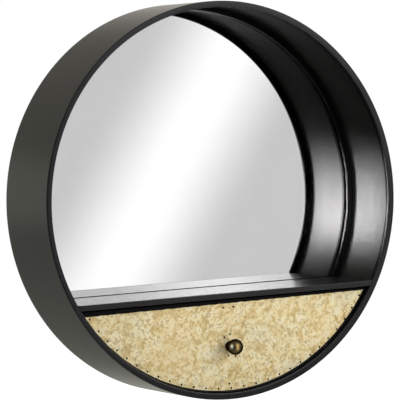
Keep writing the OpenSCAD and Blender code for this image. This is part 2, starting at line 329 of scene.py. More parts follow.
@dataclass(frozen=True)
class RubbedEnamel(Finish):
    """Black gloss enamel on the shelf, rubbed along its length: faint streaks in the gloss."""

    colour: str = "#121213"
    scuff: str = "#2a2a2c"
    roughness: float = 0.24
    spread: tuple[float, float] = (-0.02, 0.03)
    coat_roughness: float = 0.13
    shine: float = 0.5
    # Rubbing marks are hair-fine; they are drawn as bands 20 mm wide so that they show
    streak_mm: float = 20.0
    streak_len_mm: float = 700.0
    # Y at which the gloss ends, and how softly
    crease_y_mm: float = -18.6
    crease_soft_mm: float = 0.5

    def dress(self, tree: Tree, place: Socket) -> Inputs:
        """Draws long streaks along X in colour and shine, and ends the gloss at the bend.

        Args:
            tree: The material's node tree.
            place: Object coordinates, in metres.

        Returns:
            Inputs of the material's Principled shader.
        """
        along, across = per_metre(self.streak_len_mm), per_metre(self.streak_mm)
        stretched = add_node(
            tree, "ShaderNodeMapping", {"Vector": place, "Scale": (along, across, across)}
        )
        streak = add_node(
            tree,
            "ShaderNodeTexNoise",
            {"Vector": stretched.outputs["Vector"], "Scale": 1.0, "Detail": 3.0, "Roughness": 0.6},
        )
        colour = add_node(
            tree,
            "ShaderNodeValToRGB",
            {"Fac": streak.outputs["Fac"]},
            stops=[(0.45, self.colour), (0.75, self.scuff)],
        )
        least, most = (self.roughness + change for change in self.spread)
        roughness = add_node(
            tree,
            "ShaderNodeMapRange",
            {"Value": streak.outputs["Fac"], **NOISE_SPAN, "To Min": least, "To Max": most},
        )
        # Painted shade: the gloss ends along the bend where the shelf meets the mirror, as a dull
        # line
        axes = add_node(tree, "ShaderNodeSeparateXYZ", {0: place})
        gloss = add_node(
            tree,
            "ShaderNodeMapRange",
            {
                "Value": axes.outputs["Y"],
                "From Min": self.crease_y_mm * MM,
                "From Max": (self.crease_y_mm + self.crease_soft_mm) * MM,
                "To Min": 1.0,
                "To Max": 0.0,
            },
        )
        shine = add_node(
            tree,
            "ShaderNodeMath",
            {0: gloss.outputs["Result"], 1: self.shine},
            operation="MULTIPLY",
        )
        return {
            "Base Color": colour.outputs["Color"],
            "Roughness": roughness.outputs["Result"],
            "Specular IOR Level": shine.outputs[0],
            "Coat Weight": gloss.outputs["Result"],
            "Coat Roughness": self.coat_roughness,
        }


@dataclass(frozen=True)
class EtchedBrass(Finish):
    """Brass sheet mottled with acid and lacquered: cream flecks with tan worm-like marks.

    The etch leaves marks 4 to 6 mm across over wider warm and cool patches, and takes part of
    the metal's mirror shine away.
    """

    cream: str = "#fdf0c8"
    straw: str = "#f6e2ab"
    tan: str = "#e0c68c"
    vein: str = "#b0904f"
    warm: str = "#f4d59c"
    cool: str = "#dcdcc0"
    # A fleck and the gap beside it make one cell, and so do a worm-like mark and its gap
    fleck_mm: float = 13.0
    worm_mm: float = 8.06
    patch_mm: float = 110.0
    etch_depth_mm: float = 0.005
    metal: float = 0.6
    dull: float = 0.38
    polished: float = 0.3

    def dress(self, tree: Tree, place: Socket) -> Inputs:
        """Layers flecks, worm-like marks and patches, and etches the flecks into the surface.

        Args:
            tree: The material's node tree.
            place: Object coordinates, in metres.

        Returns:
            Inputs of the material's Principled shader.
        """
        fleck, ridge, patch = (
            add_node(
                tree,
                "ShaderNodeTexNoise",
                {
                    "Vector": place,
                    "Scale": per_metre(size_mm),
                    "Detail": detail,
                    "Distortion": distortion,
                },
            ).outputs["Fac"]
            for size_mm, detail, distortion in (
                (self.fleck_mm, 2.0, 0.9),
                (self.worm_mm, 1.0, 1.8),
                (self.patch_mm, 3.0, 0.0),
            )
        )
        ground = add_node(
            tree,
            "ShaderNodeValToRGB",
            {"Fac": fleck},
            stops=[(0.34, self.tan), (0.47, self.straw), (0.6, self.cream)],
        )
        colour = ground.outputs["Color"]
        for pattern, start, end, most, tint, easing in (
            (ridge, 0.5, 0.64, 0.55, self.vein, "SMOOTHSTEP"),
            (patch, 0.5, 0.72, 0.5, self.warm, "LINEAR"),
            (patch, 0.48, 0.3, 0.5, self.cool, "LINEAR"),
        ):
            share = add_node(
                tree,
                "ShaderNodeMapRange",
                {"Value": pattern, "From Min": start, "From Max": end, "To Max": most},
                interpolation_type=easing,
            )
            tinted = add_node(
                tree,
                "ShaderNodeMix",
                {0: share.outputs["Result"], 6: colour, 7: linear(tint)},
                data_type="RGBA",
            )
            colour = tinted.outputs[2]
        shine = add_node(
            tree,
            "ShaderNodeMapRange",
            {"Value": fleck, **NOISE_SPAN, "To Min": self.dull, "To Max": self.polished},
        )
        relief = add_node(
            tree,
            "ShaderNodeBump",
            {"Height": fleck, "Distance": self.etch_depth_mm * MM, "Strength": 1.0},
        )
        return {
            "Base Color": colour,
            "Roughness": shine.outputs["Result"],
            "Normal": relief.outputs["Normal"],
            "Metallic": self.metal,
        }


@dataclass(frozen=True)
class AntiqueBrass(Finish):
    """Turned brass, darkened with acid and rubbed back: brown-black with golden wear."""

    dark: str = "#3e3624"
    worn: str = "#5d5134"
    # The dark colour painted as shade where a surface is seen edge-on
    rim: str = "#150f05"
    roughness: float = 0.31
    wear_mm: float = 5.0
    spread: tuple[float, float] = (0.08, -0.04)
    # How far a surface is turned from the eye where the painted edge shade starts, and is full
    slant: tuple[float, float] = (0.22, 0.6)

    def dress(self, tree: Tree, place: Socket) -> Inputs:
        """Rubs the dark skin back in soft patches, and paints shade where a surface is seen
        edge-on.

        Args:
            tree: The material's node tree.
            place: Object coordinates, in metres.

        Returns:
            Inputs of the material's Principled shader.
        """
        wear = add_node(
            tree,
            "ShaderNodeTexNoise",
            {"Vector": place, "Scale": per_metre(self.wear_mm), "Detail": 4.0, "Roughness": 0.65},
        )
        colour = add_node(
            tree,
            "ShaderNodeValToRGB",
            {"Fac": wear.outputs["Fac"]},
            stops=[(0.35, self.dark), (0.75, self.worn)],
        )
        dull, rubbed = (self.roughness + change for change in self.spread)
        shine = add_node(
            tree,
            "ShaderNodeMapRange",
            {"Value": wear.outputs["Fac"], **NOISE_SPAN, "To Min": dull, "To Max": rubbed},
        )
        # Painted shade: where a surface is seen edge-on, its colour turns to the dark edge colour
        facing = add_node(tree, "ShaderNodeLayerWeight", {"Blend": 0.5}).outputs["Facing"]
        start, end = self.slant
        edge_on = add_node(
            tree, "ShaderNodeMapRange", {"Value": facing, "From Min": start, "From Max": end}
        )
        edge_shaded = add_node(
            tree,
            "ShaderNodeMix",
            {0: edge_on.outputs["Result"], 6: colour.outputs["Color"], 7: linear(self.rim)},
            data_type="RGBA",
        )
        return {
            "Base Color": edge_shaded.outputs[2],
            "Roughness": shine.outputs["Result"],
            "Metallic": 1.0,
            "Specular Tint": linear(self.rim),
        }


@dataclass(frozen=True)
class ZincPlate(Finish):
    """Zinc-plated steel of screws and washers: pale grey, with a faint crystal bloom."""

    pale: str = "#c9ccd0"
    dull: str = "#9fa3a8"
    roughness: float = 0.34
    spread: tuple[float, float] = (-0.06, 0.1)
    bloom_mm: float = 1.2

    def dress(self, tree: Tree, place: Socket) -> Inputs:
        """Breaks the plate up into small paler and duller grains.

        Args:
            tree: The material's node tree.
            place: Object coordinates, in metres.

        Returns:
            Inputs of the material's Principled shader.
        """
        bloom = add_node(
            tree, "ShaderNodeTexVoronoi", {"Vector": place, "Scale": per_metre(self.bloom_mm)}
        )
        colour = add_node(
            tree,
            "ShaderNodeValToRGB",
            {"Fac": bloom.outputs["Distance"]},
            stops=[(0.1, self.pale), (0.9, self.dull)],
        )
        least, most = (self.roughness + change for change in self.spread)
        shine = add_node(
            tree,
            "ShaderNodeMapRange",
            {"Value": bloom.outputs["Distance"], "To Min": least, "To Max": most},
        )
        return {
            "Base Color": colour.outputs["Color"],
            "Roughness": shine.outputs["Result"],
            "Metallic": 1.0,
        }


@dataclass(frozen=True)
class Fibreboard(Finish):
    """Medium-density fibreboard, pressed and sanded: an even brown with short pale fibres."""

    brown: str = "#8f6e4b"
    fibre: str = "#a98b66"
    fibre_mm: float = 1.6
    cloud_mm: float = 70.0
    relief_mm: float = 0.03
    roughness: float = 0.78
    shine: float = 0.25

    def dress(self, tree: Tree, place: Socket) -> Inputs:
        """Mixes short fibres and soft clouds.

        Args:
            tree: The material's node tree.
            place: Object coordinates, in metres.

        Returns:
            Inputs of the material's Principled shader.
        """
        fibre = add_node(
            tree,
            "ShaderNodeTexNoise",
            {
                "Vector": place,
                "Scale": per_metre(self.fibre_mm),
                "Detail": 4.0,
                "Roughness": 0.7,
                "Distortion": 0.8,
            },
        )
        cloud = add_node(
            tree,
            "ShaderNodeTexNoise",
            {"Vector": place, "Scale": per_metre(self.cloud_mm), "Detail": 2.0},
        )
        both = add_node(
            tree,
            "ShaderNodeMath",
            {0: fibre.outputs["Fac"], 1: cloud.outputs["Fac"]},
            operation="MULTIPLY",
        )
        colour = add_node(
            tree,
            "ShaderNodeValToRGB",
            {"Fac": both.outputs[0]},
            stops=[(0.15, self.brown), (0.4, self.fibre)],
        )
        relief = add_node(
            tree,
            "ShaderNodeBump",
            {"Height": fibre.outputs["Fac"], "Distance": self.relief_mm * MM, "Strength": 1.0},
        )
        return {
            "Base Color": colour.outputs["Color"],
            "Roughness": self.roughness,
            "Normal": relief.outputs["Normal"],
            "Specular IOR Level": self.shine,
        }


@dataclass(frozen=True)
class SawnPine(Finish):
    """Sawn pine strips, left bare: pale yellow with brown growth lines along their length."""

    pale: str = "#d9b98a"
    late: str = "#b98d58"
    ring_mm: float = 2.6
    grain_len_mm: float = 60.0
    relief_mm: float = 0.06
    roughness: float = 0.7

    def dress(self, tree: Tree, place: Socket) -> Inputs:
        """Draws growth lines that run along the strips, which lie along Y.

        Args:
            tree: The material's node tree.
            place: Object coordinates, in metres.

        Returns:
            Inputs of the material's Principled shader.
        """
        along, across = per_metre(self.grain_len_mm), per_metre(self.ring_mm)
        stretched = add_node(
            tree, "ShaderNodeMapping", {"Vector": place, "Scale": (across, along, across)}
        )
        grain = add_node(
            tree,
            "ShaderNodeTexNoise",
            {"Vector": stretched.outputs["Vector"], "Scale": 1.0, "Detail": 4.0},
        )
        colour = add_node(
            tree,
            "ShaderNodeValToRGB",
            {"Fac": grain.outputs["Fac"]},
            stops=[(0.38, self.late), (0.6, self.pale)],
        )
        relief = add_node(
            tree,
            "ShaderNodeBump",
            {"Height": grain.outputs["Fac"], "Distance": self.relief_mm * MM, "Strength": 1.0},
        )
        return {
            "Base Color": colour.outputs["Color"],
            "Roughness": self.roughness,
            "Normal": relief.outputs["Normal"],
        }


@dataclass(frozen=True)
class WoolFelt(Finish):
    """Pressed wool felt: dark grey and matt, with a haze of fibre ends."""

    dark: str = "#232221"
    light: str = "#4a4846"
    tuft_mm: float = 0.9
    relief_mm: float = 0.2
    roughness: float = 0.95
    sheen: float = 0.4

    def dress(self, tree: Tree, place: Socket) -> Inputs:
        """Roughens the felt with fine tufts.

        Args:
            tree: The material's node tree.
            place: Object coordinates, in metres.

        Returns:
            Inputs of the material's Principled shader.
        """
        tuft = add_node(
            tree,
            "ShaderNodeTexNoise",
            {"Vector": place, "Scale": per_metre(self.tuft_mm), "Detail": 5.0, "Roughness": 0.75},
        )
        colour = add_node(
            tree,
            "ShaderNodeValToRGB",
            {"Fac": tuft.outputs["Fac"]},
            stops=[(0.35, self.dark), (0.7, self.light)],
        )
        relief = add_node(
            tree,
            "ShaderNodeBump",
            {"Height": tuft.outputs["Fac"], "Distance": self.relief_mm * MM, "Strength": 1.0},
        )
        return {
            "Base Color": colour.outputs["Color"],
            "Roughness": self.roughness,
            "Normal": relief.outputs["Normal"],
            "Sheen Weight": self.sheen,
        }


@dataclass(frozen=True)
class FoamTape(Finish):
    """Closed-cell foam tape: off-white, with pin-prick cells."""

    white: str = "#e6e5df"
    cell: str = "#c9c7be"
    cell_mm: float = 0.8
    roughness: float = 0.85

    def dress(self, tree: Tree, place: Socket) -> Inputs:
        """Pricks the foam with cells.

        Args:
            tree: The material's node tree.
            place: Object coordinates, in metres.

        Returns:
            Inputs of the material's Principled shader.
        """
        cells = add_node(
            tree, "ShaderNodeTexVoronoi", {"Vector": place, "Scale": per_metre(self.cell_mm)}
        )
        colour = add_node(
            tree,
            "ShaderNodeValToRGB",
            {"Fac": cells.outputs["Distance"]},
            stops=[(0.1, self.cell), (0.5, self.white)],
        )
        return {"Base Color": colour.outputs["Color"], "Roughness": self.roughness}


@dataclass(frozen=True)
class Silvering(Finish):
    """Silver coat of the looking-glass, laid on its back: a clean, almost perfect mirror.

    It is a hair's breadth rosy, which evens out the green of the glass over it.
    """

    bright: str = "#faf8fa"
    thin: str = "#f7f5f7"
    cloud_mm: float = 120.0

    def dress(self, tree: Tree, place: Socket) -> Inputs:
        """Varies the silver by the slightest cloud.

        Args:
            tree: The material's node tree.
            place: Object coordinates, in metres.

        Returns:
            Inputs of the material's Principled shader.
        """
        cloud = add_node(
            tree, "ShaderNodeTexNoise", {"Vector": place, "Scale": per_metre(self.cloud_mm)}
        )
        colour = add_node(
            tree,
            "ShaderNodeValToRGB",
            {"Fac": cloud.outputs["Fac"]},
            stops=[(0.3, self.thin), (0.7, self.bright)],
        )
        return {"Base Color": colour.outputs["Color"], "Metallic": 1.0, "Roughness": 0.0}


@dataclass(frozen=True)
class FloatGlass(Finish):
    """Clear float glass: colourless through its face and faintly green in its depth."""

    clear: str = "#fefefe"
    green: str = "#fefffe"
    cloud_mm: float = 200.0
    ior: float = 1.52

    def dress(self, tree: Tree, place: Socket) -> Inputs:
        """Tints the glass a hair's breadth towards green.

        Args:
            tree: The material's node tree.
            place: Object coordinates, in metres.

        Returns:
            Inputs of the material's Principled shader.
        """
        cloud = add_node(
            tree, "ShaderNodeTexNoise", {"Vector": place, "Scale": per_metre(self.cloud_mm)}
        )
        colour = add_node(
            tree,
            "ShaderNodeValToRGB",
            {"Fac": cloud.outputs["Fac"]},
            stops=[(0.3, self.green), (0.7, self.clear)],
        )
        return {
            "Base Color": colour.outputs["Color"],
            "Roughness": 0.0,
            "IOR": self.ior,
            "Transmission Weight": 1.0,
        }


BAND_ENAMEL = BakedEnamel("band_stove_enamel", "#121410", "#1a1c17", 0.24, front_shade_share=0.54)
BAR_ENAMEL = BakedEnamel("bar_stove_enamel", "#0e0e11", "#161518", 0.24, 0.4)
# The mirror ring's own black, made darker and duller than the bars' as painted shade for its place
# deep in the drum
SHADED_SEAT_ENAMEL = BakedEnamel("seat_enamel_painted_shade", "#050606", "#0a0b0b", 0.2, 0.18)
RAIL_ENAMEL = BakedEnamel("rail_stove_enamel", "#151316", "#1c1a1d", 0.3, 0.4)
# The drawer board's own black, made darker and duller as painted shade for its recess below the
# rail
SHADED_BOARD_ENAMEL = BakedEnamel("board_enamel_painted_shade", "#020203", "#060608", 0.4, 0.12)
TRAY_ENAMEL = BakedEnamel("tray_stove_enamel", "#121214", "#1a1a1c", 0.32)
SHELF_ENAMEL = RubbedEnamel("shelf_rubbed_enamel")
SHEET_BRASS = EtchedBrass("etched_brass_sheet")
KNOB_BRASS = AntiqueBrass("antique_brass")
TACK_BRASS = AntiqueBrass("tack_antique_brass", "#070502", "#15100a", "#050402", 0.6, 2.0)
ZINC = ZincPlate("zinc_plate")
MDF = Fibreboard("sanded_fibreboard")
PINE = SawnPine("sawn_pine")
FELT = WoolFelt("pressed_wool_felt")
FOAM = FoamTape("foam_tape")
SILVER = Silvering("mirror_silvering")
GLASS = FloatGlass("float_glass")


# ---- Mesh work ---------------------------------------------------------------------------


def spun(corners: Sequence[tuple[float, float, float]], steps: int, segments: int = 4) -> Shape:
    """Turns an outline about the Y axis, as on a lathe.

    Args:
        corners: Radius, place along Y and rounding of each corner, in mm. Corners on the
            axis have a radius and rounding of 0.
        steps: Number of steps in the full turn.
        segments: Number of segments in each rounded corner.

    Returns:
        The closed shape, in metres.
    """
    bm = bmesh.new()
    verts = [bm.verts.new(Vector((radius, along, 0)) * MM) for radius, along, _ in corners]
    bm.faces.new(verts)
    for vert, (_, _, rounding) in zip(verts, corners):
        if rounding > 0:
            bmesh.ops.bevel(
                bm,
                geom=[vert],
                offset=rounding * MM,
                offset_type="OFFSET",
                segments=segments,
                profile=0.5,
                affect="VERTICES",
                material=-1,
            )
    bmesh.ops.delete(bm, geom=bm.faces[:], context="FACES_ONLY")
    on_axis = [e for e in bm.edges if all(abs(v.co.x) < 1e-9 for v in e.verts)]
    for edge in on_axis:
        bm.edges.remove(edge)
    bmesh.ops.spin(
        bm,
        geom=bm.verts[:] + bm.edges[:],
        cent=(0, 0, 0),
        axis=(0, 1, 0),
        dvec=(0, 0, 0),
        angle=math.tau,
        steps=steps,
        use_merge=True,
    )
    bmesh.ops.remove_doubles(bm, verts=bm.verts, dist=1e-7)
    bmesh.ops.recalc_face_normals(bm, faces=bm.faces)
    return bm


def segment_board(radius: float, top: float, back: float, front: float, steps: int = 720) -> Shape:
    """Makes a board whose outline is a circle's segment below a level.

    Args:
        radius: Radius of the curved edge, in mm.
        top: Height of the straight edge, in mm.
        back: Y of the board's back, in mm.
        front: Y of the board's front, in mm.
        steps: Number of steps in the full circle.

    Returns:
        The closed shape, in metres.
    """
    bm = bmesh.new()
    bmesh.ops.create_circle(bm, cap_ends=True, segments=steps, radius=radius * MM)
    bmesh.ops.rotate(bm, verts=bm.verts, matrix=Matrix.Rotation(math.pi / 2, 3, "X"))
    bmesh.ops.bisect_plane(
        bm,
        geom=bm.verts[:] + bm.edges[:] + bm.faces[:],
        plane_co=(0, 0, top * MM),
        plane_no=(0, 0, 1),
        clear_outer=True,
    )
    bmesh.ops.translate(bm, verts=bm.verts, vec=(0, front * MM, 0))
    grown = bmesh.ops.extrude_face_region(bm, geom=bm.faces[:], use_keep_orig=True)
    moved = [g for g in grown["geom"] if isinstance(g, bmesh.types.BMVert)]
    bmesh.ops.translate(bm, verts=moved, vec=(0, (back - front) * MM, 0))
    bmesh.ops.recalc_face_normals(bm, faces=bm.faces)
    return bm


def soften(bm: Shape, width: float, over_degrees: float = 40.0) -> None:
    """Rounds every edge that turns by more than an angle.

    Args:
        bm: The mesh, changed in place.
        width: Width of the rounding, in mm.
        over_degrees: Edges that turn by less stay as they are.
    """
    least = math.radians(over_degrees)
    sharp = [e for e in bm.edges if len(e.link_faces) == 2 and e.calc_face_angle(0) > least]
    bmesh.ops.bevel(
        bm,
        geom=sharp,
        offset=width * MM,
        offset_type="OFFSET",
        segments=2,
        profile=0.5,
        affect="EDGES",
        clamp_overlap=True,
        material=-1,
    )


def put(bm: Shape, part: Shape, place: Matrix) -> None:
    """Adds a part to a mesh at a place, and frees the part.

    Args:
        bm: The mesh that grows.
        part: The part, in metres about its own origin.
        place: Where it goes.
    """
    bmesh.ops.transform(part, matrix=place, verts=part.verts)
    scratch = bpy.data.meshes.new("scratch")
    part.to_mesh(scratch)
    part.free()
    bm.from_mesh(scratch)
    bpy.data.meshes.remove(scratch)


def cross_recess(bm: Shape, arm: float, reach: float, depth: float, floor: float) -> None:
    """Sinks a cross-shaped driver recess into the flat top of a screw that faces +Y at y = 0.

    Args:
        bm: The screw, changed in place.
        arm: Width of the cross's arms, in mm.
        reach: Distance from the middle to an arm's end, in mm.
        depth: Depth of the recess, in mm.
        floor: Size of the recess's floor, as a share of its mouth.
    """

    def top_faces() -> list[bmesh.types.BMFace]:
        """The faces of the flat top."""
        return [f for f in bm.faces if all(abs(v.co.y) < 1e-7 for v in f.verts)]

    for axis in (Vector((1, 0, 0)), Vector((0, 0, 1))):
        for offset in (-reach, -arm / 2, arm / 2, reach):
            faces = top_faces()
            around = [v for f in faces for v in f.verts] + [e for f in faces for e in f.edges]
            bmesh.ops.bisect_plane(
                bm,
                geom=faces + list(dict.fromkeys(around)),
                plane_co=axis * offset * MM,
                plane_no=axis,
                dist=1e-7,
            )
    half, far = arm / 2 * MM, reach * MM
    cross = []
    for face in top_faces():
        middle = face.calc_center_median()
        across, along = sorted((abs(middle.x), abs(middle.z)))
        if across < half and along < far:
            cross.append(face)
    sunk = bmesh.ops.extrude_face_region(bm, geom=cross)
    verts = [g for g in sunk["geom"] if isinstance(g, bmesh.types.BMVert)]
    bmesh.ops.translate(bm, verts=verts, vec=(0, -depth * MM, 0))
    bmesh.ops.scale(bm, verts=verts, vec=(floor, 1, floor))


@dataclass(frozen=True)
class Screw:
    """A cross-recess screw, drawn with the middle of its head's top at the origin, facing +Y."""

    head_d: float
    head_h: float
    shank_d: float
    length: float
    form: HeadForm = HeadForm.PAN
    # Rounding of a pan head and depth of the recess, as shares of the head's height
    crown: float = 0.55
    recess_depth: float = 0.55
    # Width and reach of the recess's arms, as shares of the head's width
    recess_arm: float = 0.13
    recess_reach: float = 0.29
    recess_floor: float = 0.75
    # Rounding under a pan head, and height of a countersunk head's straight rim
    underside: float = 0.1
    land: float = 0.15
    # Rounding of the shank's tip, as a share of its radius
    tip: float = 0.3

    def mesh(self) -> Shape:
        """Turns the screw and sinks its recess.

        Returns:
            The screw, in metres.
        """
        head, shank = self.head_d / 2, self.shank_d / 2
        if self.form is HeadForm.PAN:
            crown = self.crown * self.head_h
            rim = [(head, 0, crown), (head, -self.head_h, self.underside)]
        else:
            rim = [(head, 0, 0), (head, -self.land, 0)]
        outline = [
            (0, 0, 0),
            *rim,
            (shank, -self.head_h, 0),
            (shank, -self.length, self.tip * shank),
            (0, -self.length, 0),
        ]
        bm = spun(outline, steps=32, segments=3)
        cross_recess(
            bm,
            self.recess_arm * self.head_d,
            self.recess_reach * self.head_d,
            self.recess_depth * self.head_h,
            self.recess_floor,
        )
        return bm


def weld_run(bm: Shape, start: Vector, end: Vector, width: float, chance: random.Random) -> None:
    """Lays a short row of overlapping weld ripples between two points.

    Args:
        bm: The mesh that grows.
        start: Middle of the first ripple, in mm.
        end: Middle of the last ripple, in mm.
        width: Width of the bead, in mm.
        chance: Source of the small unevenness.
    """
    span = end - start
    count = max(3, round(span.length / (RIPPLE_PITCH * width)))
    for i in range(count):
        size = width / 2 * chance.uniform(*RIPPLE_SPREAD)
        bmesh.ops.create_icosphere(
            bm,
            subdivisions=1,
            radius=size * MM,
            matrix=Matrix.Translation((start + span * i / (count - 1)) * MM)
            @ Matrix.Rotation(chance.uniform(0, 3), 4, "Y"),
        )


class Workshop:
    """Turns finished meshes into pieces that ride on the CAD's bodies."""

    def __init__(self, frame: dict[str, Any]) -> None:
        self.frame = frame

    def cad_copy(self, node: str) -> Shape:
        """Copies a CAD node's mesh, merged, with its flat faces made whole.

        Args:
            node: The node's name.

        Returns:
            The copy, in metres.
        """
        bm = bmesh.new()
        bm.from_mesh(self.frame["nodes"][node].data)
        bmesh.ops.remove_doubles(bm, verts=bm.verts, dist=1e-6)
        bmesh.ops.dissolve_limit(bm, angle_limit=math.radians(0.4), verts=bm.verts, edges=bm.edges)
        return bm

    def piece(
        self,
        bm: Shape,
        name: str,
        body: Body,
        finish: Finish,
        nodes: Iterable[str] = (),
        smooth_below: float = 32.0,
    ) -> None:
        """Makes a piece from a mesh, dresses it and lets it ride.

        Args:
            bm: The mesh, in metres in the row frame. It is freed.
            name: The piece's name.
            body: The CAD body that it rides on.
            finish: Its surface finish.
            nodes: CAD nodes that it stands for.
            smooth_below: Edges that turn by less than this many degrees shade smoothly.
        """
        mesh = bpy.data.meshes.new(name)
        bm.to_mesh(mesh)
        bm.free()
        mesh.shade_smooth()
        mesh.set_sharp_from_angle(angle=math.radians(smooth_below))
        mesh.materials.append(finish.material())
        made = bpy.data.objects.new(name, mesh)
        bpy.context.scene.collection.objects.link(made)
        weight = made.modifiers.new("flat_faces_stay_flat", "WEIGHTED_NORMAL")
        weight.keep_sharp = True
        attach(made, body.value)
        names = list(nodes)
        if names:
            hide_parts(*names)
        LOG.info("%s: %d faces, stands for %s", name, len(mesh.polygons), names or "itself")

    def carry_over(
        self,
        node: str,
        name: str,
        body: Body,
        finish: Finish,
        rounding: float,
        over_degrees: float = 40.0,
    ) -> None:
        """Makes a piece from a CAD node's own form with its edges softened.

        Args:
            node: The CAD node.
            name: The piece's name.
            body: The CAD body that it rides on.
            finish: Its surface finish.
            rounding: Width of the softened edges, in mm.
            over_degrees: Edges that turn by less stay as they are.
        """
        bm = self.cad_copy(node)
        soften(bm, rounding, over_degrees)
        self.piece(bm, name, body, finish, [node])


# ---- Drum --------------------------------------------------------------------------------


@dataclass
class Drum:
    """The rolled band and the two square-bar rings welded inside it."""

    radius: float = 300.0
    depth: float = 138.0
    sheet: float = 1.2
    bar: float = 8.0
    ring_planes: tuple[float, float] = (-130.0, -12.2)
    steps: int = 360
    edge_rounding: float = 0.4
    bar_rounding: float = 1.2
    seat_rounding: float = 2.1
    # The rings touch the band; a hair's gap keeps their faces apart in the render
    hair: float = 0.05
    # A fine dark line runs round the front bore in the photograph; it's drawn as a groove
    lip: float = 0.2
    lip_rounding: float = 0.08
    groove_width: float = 3.0
    groove_depth: float = 2.4
    groove_rounding: float = 0.2

    @property
    def inside(self) -> float:
        """Radius of the band's inner face."""
        return self.radius - self.sheet

    def band(self) -> Shape:
        """Turns the band with its filed edges.

        Returns:
            The band, in metres.
        """
        front, edge = -self.depth, self.edge_rounding
        outer, inner = self.radius, self.inside
        outline = [(outer, 0, edge), (outer, front, edge), (inner, front, edge), (inner, 0, edge)]
        return spun(outline, self.steps, segments=3)

    def ring(self, back: float, rear_edge: float, grooved: bool) -> Shape:
        """Turns one square-bar ring.

        Args:
            back: Y of the ring's back face.
            rear_edge: Rounding of the bore's back corner, where no groove runs.
            grooved: True if a groove runs round the bore near its back edge.

        Returns:
            The ring, in metres.
        """
        front, bore, outside = back - self.bar, self.inside - self.bar, self.inside - self.hair
        start = back - self.lip
        end, floor = start - self.groove_width, bore + self.groove_depth
        groove = [
            (bore, end, self.groove_rounding),
            (floor, end, 0.0),
            (floor, start, 0.0),
            (bore, start, self.lip_rounding),
            (bore, back, self.lip_rounding),
        ]
        outline = [
            (outside, back, self.bar_rounding),
            (outside, front, self.bar_rounding),
            (bore, front, self.bar_rounding),
            *(groove if grooved else [(bore, back, rear_edge)]),
        ]
        return spun(outline, self.steps)

    def build(self, shop: Workshop) -> None:
        """Makes the drum's pieces.

        Args:
            shop: The workshop that finishes them.
        """
        front, rear = self.ring_planes
        front_ring = self.ring(front, self.bar_rounding, True)
        mirror_ring = self.ring(rear, self.seat_rounding, False)
        for bm, name, finish, slot, node in (
            (self.band(), "rolled_band", BAND_ENAMEL, "band_paint", "drum_band"),
            (front_ring, "front_bar_ring", BAR_ENAMEL, "bar_paint", "front_ring"),
            (mirror_ring, "mirror_bar_ring", SHADED_SEAT_ENAMEL, "bar_paint", "mirror_ring"),
        ):
            shop.piece(bm, name, Body.CARCASS, finish, [node])


# ---- Mirror and back ---------------------------------------------------------------------


@dataclass
class Mirror:
    """The looking-glass: a float-glass disc with its silver coat behind, on foam strips."""

    radius: float = 296.0
    front: float = -12.2
    back: float = -9.2
    # The ring touches the glass; a hair's gap keeps the two surfaces apart in the render
    hair: float = 0.03
    coat: float = 0.15
    arris: float = 0.6
    steps: int = 288
    foam_rounding: float = 0.15

    def glass(self) -> Shape:
        """Turns the glass disc with its ground arris.

        Returns:
            The disc, in metres.
        """
        front, back = self.front + self.hair, self.back - self.coat - self.hair
        outline = [
            (0, front, 0),
            (self.radius, front, self.arris),
            (self.radius, back, self.arris),
            (0, back, 0),
        ]
        return spun(outline, self.steps, segments=3)

    def silver(self) -> Shape:
        """Turns the thin silver coat, a little short of the glass's rim.

        Returns:
            The coat, in metres.
        """
        rim, front = self.radius - self.arris, self.back - self.coat
        outline = [(0, front, 0), (rim, front, 0), (rim, self.back, 0), (0, self.back, 0)]
        return spun(outline, self.steps)

    def build(self, shop: Workshop) -> None:
        """Makes the glass, the silver and the foam strips.

        Args:
            shop: The workshop that finishes them.
        """
        body = Body.CARCASS
        shop.piece(self.glass(), "mirror_glass", body, GLASS, ["mirror_disc"])
        shop.piece(self.silver(), "mirror_silver", body, SILVER)
        shop.carry_over("mirror_tape", "foam_strips", body, FOAM, self.foam_rounding)


